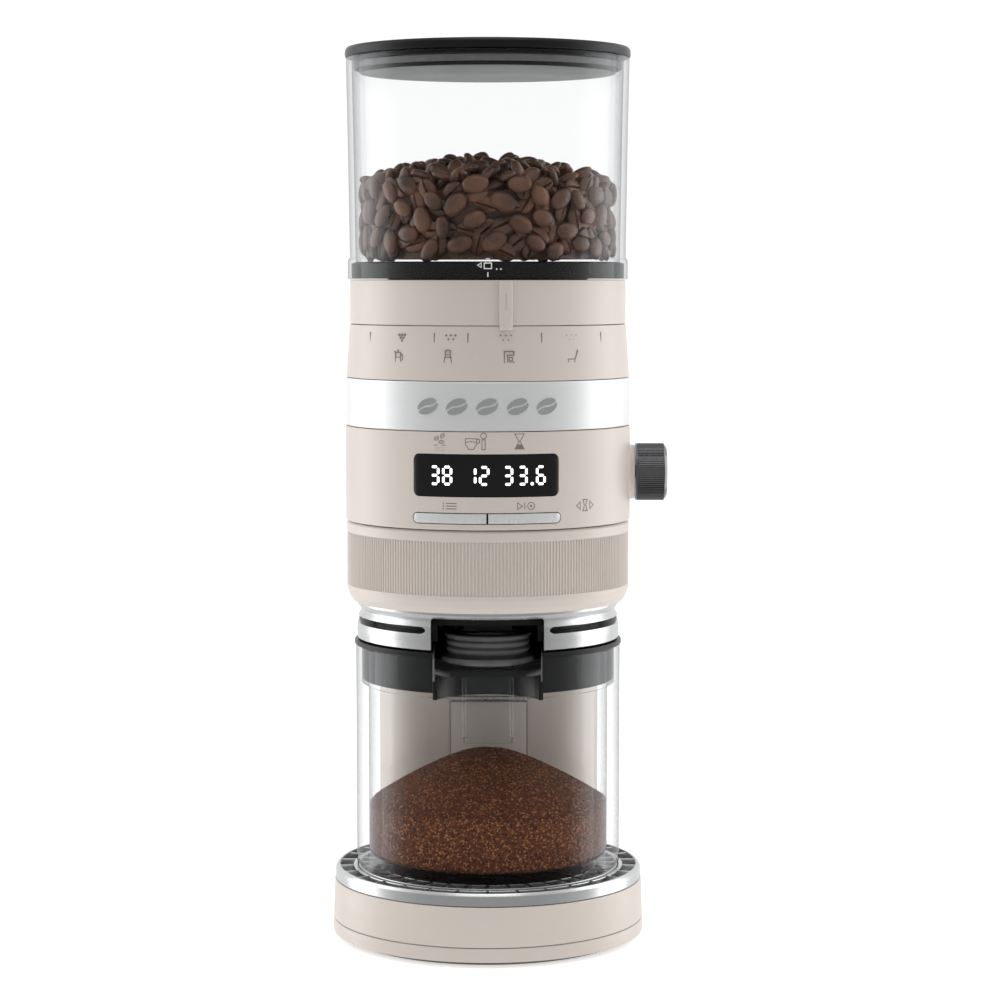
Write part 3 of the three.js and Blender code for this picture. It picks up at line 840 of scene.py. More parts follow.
# %% Scattering
def scattering():
    tree = Growth("scatter", {
        "Copy": "NodeSocketObject", "Spacing": "NodeSocketFloat", "Density": "NodeSocketFloat",
        "Tilt": "NodeSocketFloat", "Least": "NodeSocketFloat", "Most": "NodeSocketFloat",
        "Seed": "NodeSocketInt",
    })
    spread = tree.group.nodes.new("GeometryNodeDistributePointsOnFaces")
    spread.distribute_method = "POISSON"
    for label, socket in (("Geometry", "Mesh"), ("Spacing", "Distance Min"),
                          ("Density", "Density Max"), ("Seed", "Seed")):
        tree.group.links.new(tree.given(label), spread.inputs[socket])
    low = tree.add("ShaderNodeMath", {"operation": "MULTIPLY"}, {0: tree.given("Tilt"), 1: -1.0})
    lean = {"Min": tree.add("ShaderNodeCombineXYZ", {}, {"X": low, "Y": low, "Z": -math.pi}),
            "Max": tree.add("ShaderNodeCombineXYZ", {}, {
                "X": tree.given("Tilt"), "Y": tree.given("Tilt"), "Z": math.pi}),
            "Seed": tree.given("Seed")}
    random_lean = tree.add("FunctionNodeRandomValue", {"data_type": "FLOAT_VECTOR"}, lean)
    size = tree.group.nodes.new("FunctionNodeRandomValue")
    size.data_type = "FLOAT"
    tree.group.links.new(tree.given("Least"), size.inputs[2])
    tree.group.links.new(tree.given("Most"), size.inputs[3])
    turned = tree.add("FunctionNodeRotateRotation", {"rotation_space": "LOCAL"}, {
        "Rotation": spread.outputs["Rotation"],
        "Rotate By": tree.add("FunctionNodeEulerToRotation", {}, {"Euler": random_lean}),
    })
    shape = tree.add("GeometryNodeObjectInfo", {}, {"Object": tree.given("Copy")}, "Geometry")
    copies = tree.add("GeometryNodeInstanceOnPoints", {}, {
        "Points": spread.outputs["Points"], "Instance": shape, "Rotation": turned,
        "Scale": size.outputs[1],
    })
    return tree.close(copies)


scatter = scattering()
print("two trees that grow copies")

# %% [markdown]
# ## The base
# The base is a round pan and shell that run back under the tower. One outline serves for both: an
# arc round the front, straight sides, and rounded corners behind. Stacking that outline at small
# insets gives each cover its soft lower and upper edge, which catches a thin line of light.

# %% The footprint
tower_box = Extent("tower_casing")
cover_box = Extent("rear_cover")
pan_box = Extent("base_pan")
shell_box = Extent("base_shell")
BACK_CORNER = 16


def footprint(radius, inset=0.0, arc_steps=120):
    """Outline of the round base joined to the tower's foot."""
    half = cover_box.right - inset
    back = cover_box.back - inset
    radius -= inset
    corner = BACK_CORNER - inset
    meet = math.asin(half / radius)
    points = []
    for k in range(arc_steps + 1):
        a = math.pi - meet + (2 * meet - 2 * math.pi) * k / arc_steps
        points.append((radius * math.sin(a), -radius * math.cos(a)))
    points.reverse()
    for side in (1, -1):
        for k in range(9):
            a = math.pi / 2 * (k / 8 if side > 0 else 1 - k / 8)
            points.append((side * (half - corner + corner * math.cos(a)),
                           back - corner + corner * math.sin(a)))
    return points


def cover(name, levels):
    """A closed cover through (height, radius, inset) levels of the footprint."""
    rings = [[(x, y, z) for x, y in footprint(radius, inset)] for z, radius, inset in levels]
    return loft(name, rings)


print("the pan's outline has", len(footprint(pan_box.radius)), "points")

# %% Pan and shell
def edge_levels(foot, top, low_radius, high_radius, edge):
    """Levels with a small rounding of the given size at the foot and the top."""
    levels = []
    for k in range(4):
        a = math.pi / 2 * k / 3
        levels.append((foot + edge * (1 - math.cos(a)), low_radius, edge * (1 - math.sin(a))))
    for k in range(4):
        a = math.pi / 2 * k / 3
        levels.append((top - edge * (1 - math.sin(a)), high_radius, edge * (1 - math.cos(a))))
    return levels


pan = cover("base_pan_cover", edge_levels(pan_box.foot, pan_box.top, pan_box.radius,
                                          pan_box.radius, 0.5))
dress(pan, "paint", "base_pan")
shell = cover("base_shell_cover", edge_levels(shell_box.foot, shell_box.top, shell_box.radius,
                                              shell_box.radius - 0.6, 0.4))
dress(shell, "paint", "base_shell")

# %% Feet
for foot in ("foot_pad", "rear_foot_left", "rear_foot_right"):
    at = Extent(foot)
    round_foot = turn(foot + "_rubber", rounded([
        (0, at.foot), (at.radius - 0.8, at.foot, 0.4), (at.radius, at.top), (0, at.top),
    ]), 96, centre=(at.x, at.y, 0))
    dress(round_foot, "rubber", foot)

# %% [markdown]
# ## The metal rim
# A cast ring lies on the base round the foot of the jar. Its top is a channel, divided by thin
# ribs into pockets, so that the casting stays even in thickness. The channel is part of the turned
# section, and the ribs are one small block, copied round the axis by Geometry Nodes.

# %% Rim with pockets
rim_box = Extent("base_rim")
tray_box = Extent("jar_tray")
RIM_POCKETS = 30
CHANNEL = {"inner": 62.6, "outer": 68.7, "floor": rim_box.top - 3.6}


def metal_rim():
    inner = tray_box.radius + 0.3
    ring = turn("rim", rounded([
        (inner, rim_box.foot), (rim_box.radius, rim_box.foot, 0.3),
        (rim_box.radius, rim_box.top - 1.4, 0.8), (rim_box.radius - 1.1, rim_box.top, 0.6),
        (CHANNEL["outer"], rim_box.top, 0.5), (CHANNEL["outer"] - 0.3, CHANNEL["floor"], 0.8),
        (CHANNEL["inner"] + 0.3, CHANNEL["floor"], 0.8), (CHANNEL["inner"], rim_box.top - 0.4, 0.5),
        (inner, rim_box.top - 0.4, 0.4),
    ]))
    rib = slab("pocket_rib", -0.75, 0.75, -CHANNEL["outer"] - 0.3, -CHANNEL["inner"] + 0.3,
               CHANNEL["floor"] - 0.2, rim_box.top - 0.3, 0)
    ribs = ring_of(soften(rib, 0.35), RIM_POCKETS, "polished")
    rim = fuse(ring, ribs)
    gap = tower_box.right + 0.3
    behind = slab("cutter", -gap, gap, tower_box.front - 0.3, 90, 20, 40)
    return carve(rim, behind)


rim = metal_rim()
rim.name = "base_rim_casting"
dress(rim, "polished", "base_rim")


# %% Tray with its own pockets
TRAY_POCKETS = {"inner": 50.5, "outer": 59.0, "floor": tray_box.top - 3.2}


def pocket_tray(ribs=36):
    inner, outer, floor = (TRAY_POCKETS[name] for name in ("inner", "outer", "floor"))
    disc = turn("tray", rounded([
        (0, tray_box.foot), (tray_box.radius, tray_box.foot), (tray_box.radius, tray_box.top, 0.4),
        (outer, tray_box.top, 0.3), (outer - 0.2, floor, 0.6), (inner + 0.2, floor, 0.6),
        (inner, tray_box.top - 0.3, 0.4), (0, tray_box.top - 0.3),
    ]))
    rib = slab("tray_rib", -0.9, 0.9, -outer - 0.3, -inner + 0.3, floor - 0.2, tray_box.top - 0.2, 0)
    return fuse(disc, ring_of(soften(rib, 0.4), ribs, "polished"))


tray = pocket_tray()
tray.name = "jar_tray_disc"
dress(tray, "polished", "jar_tray")

# %% [markdown]
# ## The tower
# The tower is a painted casing with a screwed-on cover behind. Below the head its front corners are
# well rounded, and beside the head they are square, where the head's bridge lies against them. So it
# is two stacked outlines, fused, with the recess for the front panel cut away after.

# %% Tower outline
FRONT_CORNER = 24
head_box = Extent("head_casing")
panel_box = Extent("tower_panel")
trim_strip = Extent("panel_trim")


def tower_body(name, front, back, corners, foot, top, edge=0.6):
    """An upright body with its own radius at the front and the back corners."""
    front_corner, back_corner = corners
    rings = []
    for k in range(8):
        up = k > 3
        a = math.pi / 2 * (k - 4 if up else k) / 3
        inset = edge * (1 - math.cos(a) if up else 1 - math.sin(a))
        z = top - edge * (1 - math.sin(a)) if up else foot + edge * (1 - math.cos(a))
        half = tower_box.right - inset
        outline = rounded([
            (-half, front + inset, max(front_corner - inset, 0.3)),
            (half, front + inset, max(front_corner - inset, 0.3)),
            (half, back - inset, max(back_corner - inset, 0.3)),
            (-half, back - inset, max(back_corner - inset, 0.3)),
        ], 12)
        rings.append([(x, y, z) for x, y in outline])
    return loft(name, rings)


print("the tower is", round(tower_box.right - tower_box.left, 1), "mm wide")

# %% Casing, panel and trim
def gear_room(node):
    """The room that a gear turns in, cut out of the solid it stands in."""
    gear = Extent(node)
    return rod(gear.radius + 0.4, gear.foot - 0.4, gear.top + 0.4, 96, "Z", (0, gear.y, 0))


def tower_shell():
    front, back = tower_box.front, cover_box.front - 0.3
    low = tower_body("tower_shell", front, back, (FRONT_CORNER, 0.4), tower_box.foot,
                     head_box.foot + 0.5)
    high = tower_body("upper", front, back, (0.8, 0.4), head_box.foot, tower_box.top, 1.2)
    recess = slab("cutter", panel_box.left - 0.3, panel_box.right + 0.3, front - 1, front + 1.6,
                  panel_box.foot - 0.3, trim_strip.top + 0.3)
    return carve(fuse(low, high), recess, gear_room("idler_gear"), gear_room("motor_pinion"))


dress(tower_shell(), "paint", "tower_casing")
dress(soften(slab("tower_panel_plate", *panel_box.sides), 0.3), "paint", "tower_panel")
dress(soften(slab("panel_trim_strip", *trim_strip.sides), 0.5, 3), "polished", "panel_trim")

# %% [markdown]
# ## The rear cover
# Behind, a cover closes the tower. It has six vent slots for the motor's air, one slot copied
# upwards by Geometry Nodes and then cut out, and four counterbores for its screws.

# %% Rear cover
VENT = {"count": 6, "half": 22, "foot": 92, "high": 3.4, "pitch": 8}
screws = [f"cover_screw_{n}" for n in range(1, 5)]
gland_box = Extent("cord_gland")


def rear_shell():
    back = tower_body("rear_cover_shell", cover_box.front, cover_box.back, (0.4, BACK_CORNER),
                      cover_box.foot, cover_box.top, 1.2)
    slot = slab("vents", -VENT["half"], VENT["half"], cover_box.back - 4, cover_box.back + 2,
                VENT["foot"], VENT["foot"] + VENT["high"])
    slots = row_of(soften(slot, 1.6, 4), VENT["count"], (0, 0, VENT["pitch"]), "paint")
    tools = [slots]
    for name in screws:
        at = Extent(name)
        tools.append(rod(at.radius + 0.5, at.back - 1.6, at.back + 2, 48, "Y", (at.x, 0, at.z)))
    return carve(back, *tools)


dress(rear_shell(), "paint", "rear_cover")

# %% Screws and gland
for name in screws:
    at = Extent(name)
    head = turn(name + "_head", rounded([
        (0, at.back - 4), (1.5, at.back - 4), (1.5, at.back - 1.3), (at.radius, at.back - 1.3, 0.2),
        (at.radius, at.back - 0.3, 0.6), (2.6, at.back), (0, at.back),
    ]), 48, "Y", (at.x, 0, at.z))
    arms = [slab("cutter", at.x - a, at.x + a, at.back - 1, at.back + 1, at.z - b, at.z + b)
            for a, b in ((2, 0.45), (0.45, 2))]
    dress(carve(head, *arms), "steel", name)

gland = turn("cord_gland_ring", rounded([
    (3.2, gland_box.back - 8, 0.4), (6, gland_box.back - 8, 0.4), (6, gland_box.back - 2.3),
    (gland_box.radius, gland_box.back - 2.3, 0.3), (gland_box.radius, gland_box.back - 1.2, 0.8),
    (6.4, gland_box.back, 1), (3.2, gland_box.back, 0.8),
]), 96, "Y", (0, 0, gland_box.z))
dress(gland, "black", "cord_gland")

# %% [markdown]
# ## The head
# The painted drum holds the display and the controls. A square bridge joins it to the tower, and a
# flared boss on the right carries the knob. It is turned, joined and cut, in the order in which a
# pattern maker would do it: drum and bridge first, then the openings.

# %% Head casing
WALL = 3.2
HEAD_R = Extent("trim_band").radius + 0.35
window_box = Extent("display_window")
knob_box = Extent("timer_knob")
key_boxes = [Extent("program_button"), Extent("start_button")]
KNOB_AXIS = (0, 0, knob_box.z)
knob_radius = (knob_box.top - knob_box.foot) / 2
WINDOW_CORNER = 2.8


def head_shell():
    foot, top, radius = head_box.foot, head_box.top, HEAD_R
    drum = turn("head_shell", rounded([
        (radius - WALL, foot), (radius, foot, 0.5), (radius, top, 0.5), (radius - WALL, top),
    ]), 256)
    bridge = soften(slab("bridge", tower_box.left, tower_box.right, 36, tower_box.front - 0.3,
                         foot, top), 0.6)
    boss = turn("boss", rounded([
        (0, 52), (15.2, 52), (15.2, 62.6, 1.5), (12.5, 65.6, 2.5), (12.5, 67.4, 0.5), (0, 67.4),
    ]), 96, "X", KNOB_AXIS)
    head = carve(fuse(drum, bridge, boss), rod(radius - WALL, foot - 5, top + 5))
    window = drum_plate("cutter", window_box.left - 0.3, window_box.right + 0.3,
                        window_box.foot - 0.25, window_box.top + 0.25, radius - 8, radius + 3,
                        WINDOW_CORNER, radius)
    keys = drum_plate("cutter", key_boxes[0].left - 0.4, key_boxes[1].right + 0.4,
                      key_boxes[0].foot - 0.4, key_boxes[0].top + 0.4, radius - 8, radius + 3,
                      2.4, radius)
    stem = rod(3.4, 50, 69, 48, "X", KNOB_AXIS)
    return carve(head, window, keys, stem, gear_room("idler_gear"))


dress(head_shell(), "paint", "head_casing")
backing = drum_plate("button_well", key_boxes[0].left - 1, key_boxes[1].right + 1,
                     key_boxes[0].foot - 1, key_boxes[0].top + 1, HEAD_R - WALL - 1.2,
                     HEAD_R - WALL - 0.2, 2)
dress(backing, "black", body="housing")

# %% Display lens
LENS_R = HEAD_R - 0.2
lens = drum_plate("display_lens", window_box.left, window_box.right, window_box.foot,
                  window_box.top, LENS_R - 2.2, LENS_R, WINDOW_CORNER - 0.2)
dress(soften(lens, 0.2), "lens", "display_window")

# %% [markdown]
# ## Lit digits
# The display shows a cup count, a grind step and a time, as seven-segment numbers. Each segment is a
# ribbon with tapered ends, and a small table says which segments a digit lights.

# %% Seven segments
SEGMENTS = {
    "top": ((0, 1), (1, 1)), "upper_left": ((0, 0.5), (0, 1)), "upper_right": ((1, 0.5), (1, 1)),
    "middle": ((0, 0.5), (1, 0.5)), "lower_left": ((0, 0), (0, 0.5)),
    "lower_right": ((1, 0), (1, 0.5)), "foot": ((0, 0), (1, 0)),
}
LIT = {
    "1": "upper_right lower_right", "2": "top upper_right middle lower_left foot",
    "3": "top upper_right middle lower_right foot",
    "6": "top upper_left middle lower_left lower_right foot",
    "8": "top upper_left upper_right middle lower_left lower_right foot",
}
DIGIT = {"wide": 3.5, "high": 7.5, "line": 1.15, "gap": 0.5}


def light_digit(display, digit, left, foot):
    for name in LIT[digit].split():
        (x0, z0), (x1, z1) = SEGMENTS[name]
        start = Vector((left + x0 * DIGIT["wide"], foot + z0 * DIGIT["high"]))
        end = Vector((left + x1 * DIGIT["wide"], foot + z1 * DIGIT["high"]))
        way = (end - start).normalized()
        line = DIGIT["line"]
        tip, full = way * DIGIT["gap"], way * (DIGIT["gap"] + 0.35)
        spots = [(start + tip, line * 0.35), (start + full, line), (end - full, line),
                 (end - tip, line * 0.35)]
        display.stroke([(*spot, width) for spot, width in spots])


def number_display():
    display = Print("lit_digits", LENS_R)
    foot = window_box.z - DIGIT["high"] / 2
    readings = (("3", -25.5), ("8", -19.6), ("1", -8.8), ("2", -3.1), ("3", 7.4), ("3", 13.9),
                ("6", 22.4))
    for digit, left in readings:
        light_digit(display, digit, left, foot)
    display.oval((20.1, foot + 0.1), 0.75, 0.75, filled=True)
    return display.made()


dress(number_display(), "digits", body="housing")

# %% [markdown]
# ## The two keys
# The program key and the start key are long silver pills that share one slot in the drum. Their
# outer ends are round and their inner ends nearly square.


# %% Keys
def key(name, node, round_left):
    at = Extent(node)
    outer = HEAD_R + 0.25
    plate = drum_plate(name, at.left, at.right, at.foot, at.top, outer - 2.6, outer, 2.05)
    inner = at.right if round_left else at.left
    block = drum_plate("inner_end", inner - (6 if round_left else 0), inner + (0 if round_left else 6),
                       at.foot, at.top, outer - 2.6, outer, 0, outer)
    return soften(fuse(plate, block), 0.35, 3)


dress(key("program_key", "program_button", True), "brushed", "program_button")
dress(key("start_key", "start_button", False), "brushed", "start_button")

# %% [markdown]
# ## The timer knob
# A knurled knob: a plated core with a chamfer, and a ring of fine straight teeth. One tooth
# is a small rounded bar, and Geometry Nodes copy it round the knob's own axis.

# %% Knob
KNURLS = 80


def knurled_knob():
    inner, edge, outer = 67.8, knob_box.right - 1.2, knob_box.right
    root = knob_radius - 0.55
    core = turn("timer_knob_metal", rounded([
        (0, 56), (3, 56), (3, inner + 1), (root - 1.5, inner + 0.4), (knob_radius - 0.25, inner, 0.2),
        (knob_radius - 0.1, inner + 0.8, 0.2), (root, inner + 1.0), (root, edge - 0.3),
        (knob_radius - 0.05, edge - 0.2, 0.1), (knob_radius - 0.3, edge + 0.1, 0.1),
        (knob_radius - 1.7, outer, 0.3), (knob_radius - 4.2, outer, 0.4),
        (knob_radius - 4.8, outer - 0.9, 0.5), (0, outer - 0.9),
    ]), 160, "X", KNOB_AXIS)
    half = math.pi * knob_radius / KNURLS * 0.52
    section = rounded([(-half, root - 0.4), (half, root - 0.4), (half * 0.75, knob_radius - 0.02, 0.3),
                       (-half * 0.75, knob_radius - 0.02, 0.3)], 2)
    tooth = loft("timer_knob_knurl", [[(x, across, up) for across, up in section]
                                      for x in (inner + 0.9, edge - 0.2)])
    teeth = ring_of(tooth, KNURLS, "plating", KNOB_AXIS, (1, 0, 0))
    return core, teeth


core, teeth = knurled_knob()
dress(core, "plating", "timer_knob")
dress(teeth, "plating", body="timer_knob")

# %% [markdown]
# ## The dosing collar
# The collar turns under the head to set the dose. Between two smooth rims it is ribbed for the
# fingers. The ribs are over two hundred, so a rib has only a few faces, and Geometry Nodes copy it.

# %% Collar
RIBS = 264
collar_box = Extent("dose_collar")


def ribbed_collar():
    foot, top, radius = collar_box.foot, collar_box.top, collar_box.radius
    inner = Extent("neck_ring").radius + 0.5
    root = radius - 0.62
    low, high = foot + 8.2, top - 5.0
    ring = turn("dose_collar_ring", rounded([
        (inner, foot), (62, foot, 0.6), (63.9, foot + 2.6, 2), (radius, foot + 6.2, 2),
        (radius, low - 0.3, 0.2), (root, low + 0.1), (root, high - 0.1), (radius, high + 0.3, 0.2),
        (radius, top - 0.9, 0.7), (radius - 0.8, top, 0.4), (inner, top),
    ]), 256)
    half = math.pi * radius / RIBS * 0.6
    section = rounded([(-half, root - 0.3), (half, root - 0.3), (half * 0.8, radius - 0.08, 0.5),
                       (-half * 0.8, radius - 0.08, 0.5)], 3)
    rib = loft("dose_collar_ribs", [[(across, -out, z) for across, out in section]
                                    for z in (low - 0.4, high + 0.4)])
    return ring, ring_of(rib, RIBS, "paint")


ring, ribs = ribbed_collar()
dress(ring, "paint", "dose_collar")
dress(ribs, "paint", body="dose_collar")

# %% [markdown]
# ## The cast neck
# Under the collar a polished casting reaches down to the jar. Its front is open for the chute, and a
# finger slot runs along each side, with a rounded end. It could be modelled face by face, but a ring
# with three cuts is exact and quick, and a bevel then gives the cut edges their bright lip.

# %% Neck
neck_box = Extent("neck_ring")
MOUTH = 25.2
SLOT = {"foot": 146.7, "top": 149.8, "from": 27.5, "to": 95}


def neck_casting():
    foot, top, radius = neck_box.foot, neck_box.top, neck_box.radius
    ring = turn("neck_casting", rounded([
        (52, foot, 0.4), (radius - 0.3, foot, 0.8), (radius, foot + 4, 3), (radius - 0.7, 149.9, 1.5),
        (radius - 2.2, 152.6, 0.8), (radius - 0.1, 155.4, 1.0), (radius, top), (52, top),
    ], 8), 256)
    mouth = soften(slab("cutter", -MOUTH, MOUTH, -80, 0, foot - 5, 153.7), 1.2, 3)
    tools = [mouth]
    for side in (-1, 1):
        spread = [side * math.radians(SLOT[end]) for end in ("from", "to")]
        rings = []
        steps = 40
        middle = (SLOT["foot"] + SLOT["top"]) / 2
        for k in range(steps + 1):
            a = spread[0] + (spread[1] - spread[0]) * (k / steps) ** 1.6
            reach = abs(a - spread[0]) * radius
            swell = math.sqrt(min(1, (reach + 0.15) / 2.2))
            half = (SLOT["top"] - SLOT["foot"]) / 2 * swell
            rings.append([(r * math.sin(a), -r * math.cos(a), z) for r, z in (
                (48, middle - half), (radius + 4, middle - half),
                (radius + 4, middle + half), (48, middle + half))])
        tools.append(loft("cutter", rings))
    return soften(carve(ring, *tools), 0.5, 3, 50)


dress(neck_casting(), "polished", "neck_ring")

# %% Dark core behind the chute
core_box = Extent("neck_core")


def dark_core():
    radius, foot, top = core_box.radius, core_box.foot, core_box.top
    core = turn("neck_core_moulding", rounded([
        (0, foot + 7.8), (48, foot + 7.8, 0.6), (48, foot, 0.4), (radius, foot, 0.5), (radius, top),
        (0, top),
    ]), 128)
    front = slab("cutter", -22.4, 22.4, -80, 0, foot - 3, foot + 7.8)
    bore = slab("cutter", -11.4, 11.4, -11.4, 11.4, foot - 3, top + 5)
    return carve(core, front, bore)


dress(dark_core(), "black", "neck_core")

# %% [markdown]
# ## The silver band
# A brushed band runs round over the head. In the middle of its front it carries a raised sign: a
# plain row of coffee beans, which says what the machine is for and belongs to nobody.

# %% Band
band_box = Extent("trim_band")


def silver_band():
    foot, top, radius = band_box.foot, band_box.top, band_box.radius
    return turn("trim_band_ring", rounded([
        (radius - 2.85, foot), (radius - 0.25, foot, 0.2), (radius, foot + 0.5, 0.3),
        (radius, top - 0.5, 0.3), (radius - 0.25, top, 0.2), (radius - 2.85, top),
    ]), 256)


dress(silver_band(), "brushed", "trim_band")


# %% Raised beans on the band
def raised_beans(count=5, pitch=13.5, half_wide=4.9, half_high=3.3):
    sign = Print("band_beans", band_box.radius, 0.3, 0.3)
    for k in range(count):
        along = (k - (count - 1) / 2) * pitch
        for side in (-1, 1):
            outline = []
            for i in range(13):
                a = math.pi * i / 12
                outline.append((half_wide * math.cos(a), side * (0.45 + (half_high - 0.45) * math.sin(a))))
            for i in range(1, 8):
                t = i / 8
                along_slit = -half_wide + 2 * half_wide * t
                outline.append((along_slit, side * 0.45 + 0.5 * math.sin(2 * math.pi * t)))
            lean = Matrix.Rotation(math.radians(24), 2)
            sign.patch([lean @ Vector(spot) for spot in outline], (along, band_box.z))
    return sign.made()


dress(raised_beans(), "polished", body="housing")

# %% [markdown]
# ## Scale and dial
# The fixed scale ring leans in a little towards the top. The dial above it turns, and its pointer is
# a rib with a toe that reaches down over the seam.

# %% Scale ring
scale_box = Extent("scale_ring")
dial_box = Extent("grind_dial")
DIAL_R = 63.3
POINTER = math.radians(7.3)


def scale_radius(z):
    """The ring's outside, which leans in towards the dial."""
    lean = (z - scale_box.foot) / (scale_box.top - scale_box.foot)
    return scale_box.radius - 1.6 * lean


scale = turn("scale_ring_cover", rounded([
    (60.8, scale_box.foot), (scale_box.radius, scale_box.foot, 0.3),
    (scale_radius(scale_box.top), scale_box.top, 0.35), (60.8, scale_box.top),
]), 256)
dress(scale, "paint", "scale_ring")


# %% Grind dial
def pointer_rib():
    foot, top = scale_box.top - 1.7, dial_box.top - 0.3
    rib = slab("pointer", -2.9, 2.9, -65.7, -61.5, foot, top)
    seam = scale_box.top + 0.25
    return carve(rib, rod(scale_radius(foot) + 0.35, foot - 1, seam))


def grind_dial():
    foot, top = scale_box.top + 0.3, dial_box.top
    floor = foot + 2.3
    dial = turn("grind_dial_cover", rounded([
        (46.9, floor), (61, floor), (61, foot), (DIAL_R, foot, 0.35),
        (DIAL_R - 0.1, top, 0.5), (58, top), (58, floor + 4.2), (46.9, floor + 4.2),
    ]), 256)
    rib = soften(pointer_rib(), 0.6, 3)
    notch = soften(slab("cutter", -0.3, 0.3, -70, -65.45, top - 13.2, top - 6.2), 0.1)
    carve(rib, notch)
    rib.data.transform(Matrix.Rotation(POINTER, 4, "Z"))
    return fuse(dial, rib)


dress(grind_dial(), "paint", "grind_dial")

# %% [markdown]
# ## Printed signs on the head
# Ticks and clusters of dots grade the grind from coarse to fine, and line drawings of brewers sit
# under them. Over the display a sign tells what each number means. All are plain drawings in mm.

# %% Line drawings
BREWERS = {
    "press": [([(-1.6, -2.5), (-1.6, 2), (1.3, 2), (1.3, -2.5)], True), ([(-0.2, 2), (-0.2, 3.4)], False),
              ([(1.3, 1.3), (2.4, 1), (2.4, -1.2), (1.3, -1.5)], False), ([(-1.6, 0), (1.3, 0)], False),
              ([(-1.6, 2), (-2.3, 2.6)], False)],
    "pot": [([(-1.4, 0.2), (1.4, 0.2), (1.8, -2.8), (-1.8, -2.8)], True),
            ([(-1.1, 0.5), (-1.1, 3.2), (1.1, 3.2), (1.1, 0.5)], False), ([(-0.4, 1.4), (0.4, 1.4)], False)],
    "machine": [([(-2, -2.8), (-2, 2.8), (2.2, 2.8), (2.2, 1.2), (-0.6, 1.2), (-0.6, -1.8),
                  (2.2, -1.8), (2.2, -2.8)], True),
                ([(0.1, -1.2), (0.1, 0.2), (1.6, 0.2), (1.6, -1.2)], True)],
    "handle": [([(-3, -2.2), (-3, -0.8), (0.6, -0.8), (0.6, -2.2)], True),
               ([(0.6, -1.2), (1.6, 1), (2.3, 3.2)], False)],
}
BREWER_AT = {"press": -37.8, "pot": -15.6, "machine": 8.5, "handle": 36.4}
TICKS = (-55.3, -21.4, -7.6, 22.0, 52.5)
DOTS = {-36.2: (0.95, 0.62), -14.5: (1.3, 0.45), 7.35: (1.5, 0.32), 35.6: (1.6, 0.2)}


def scale_signs():
    ticks_z = scale_box.top - 5.6
    signs = Print("scale_signs", scale_radius(ticks_z) + 0.05, 0.05, 0.5)
    per_degree = math.radians(1) * signs.drum
    for angle in TICKS:
        at = angle * per_degree
        signs.stroke([(at, ticks_z - 2.6), (at, ticks_z + 2.6)], 0.4)
    for angle, (pitch, dot) in DOTS.items():
        for row, count in enumerate((3, 2, 1)):
            for k in range(count):
                along = angle * per_degree + (k - (count - 1) / 2) * pitch * 1.6
                signs.oval((along, ticks_z + 1.6 - row * pitch * 1.3), dot, dot, filled=True, steps=10)
    return signs.made()


def brewer_signs():
    middle = scale_box.foot + 10.2
    signs = Print("brewer_signs", scale_radius(middle) + 0.1, 0.05, 0.4)
    for name, strokes in BREWERS.items():
        at = (BREWER_AT[name] * math.radians(1) * signs.drum, middle)
        for line, closed in strokes:
            signs.stroke(line, 0.38, at, closed)
    return signs.made()


dress(scale_signs(), "ink", body="housing")
dress(brewer_signs(), "ink", body="housing")


# %% Signs round the display
def display_signs():
    signs = Print("display_signs", HEAD_R)
    z = window_box.top + 1.9
    for along, up, tilt in ((-22.8, 5.2, 35), (-20.0, 6.4, 55), (-20.6, 3.6, 10)):
        signs.oval((along, z + up), 1.15, 0.75, tilt, width=0.3, steps=12)
        signs.stroke([(-0.7, -0.2), (0.7, 0.2)], 0.25, (along, z + up))
    signs.stroke([(-24, z + 2.2), (-18.4, z + 2.2)], 0.35)
    for row in range(3):
        for k in range(5):
            signs.oval((-23.2 + k * 0.95, z + 1.2 - row * 0.8), 0.16, 0.16, filled=True, steps=6)
    cup = [(-9.6, z + 5.2), (-4.6, z + 5.2), (-4.6, z + 2.8), (-6, z + 0.5), (-8.2, z + 0.5),
           (-9.6, z + 2.6)]
    signs.stroke(cup, 0.35, closed=True)
    signs.stroke([(-4.6, z + 4.9), (-3.4, z + 4.9), (-3.4, z + 3.4), (-4.6, z + 3.2)], 0.35)
    signs.stroke([(-9.5, z + 3.4), (-7.5, z + 4), (-4.7, z + 3.6)], 0.3)
    signs.oval((-1.6, z + 6.4), 1.25, 1.25, width=0.35)
    signs.stroke([(-2.3, z + 4.7), (-2.3, z + 0.4), (-0.9, z + 0.4), (-0.9, z + 4.7)], 0.35, closed=True)
    glass = [(12.2, z + 7.2), (16.4, z + 7.2), (14.5, z + 3.9), (16.4, z + 0.6), (12.2, z + 0.6),
             (14.1, z + 3.9)]
    signs.stroke(glass, 0.35, closed=True)
    signs.patch([(12.4, z + 0.7), (16.2, z + 0.7), (15, z + 2.6), (13.6, z + 2.6)])
    return signs


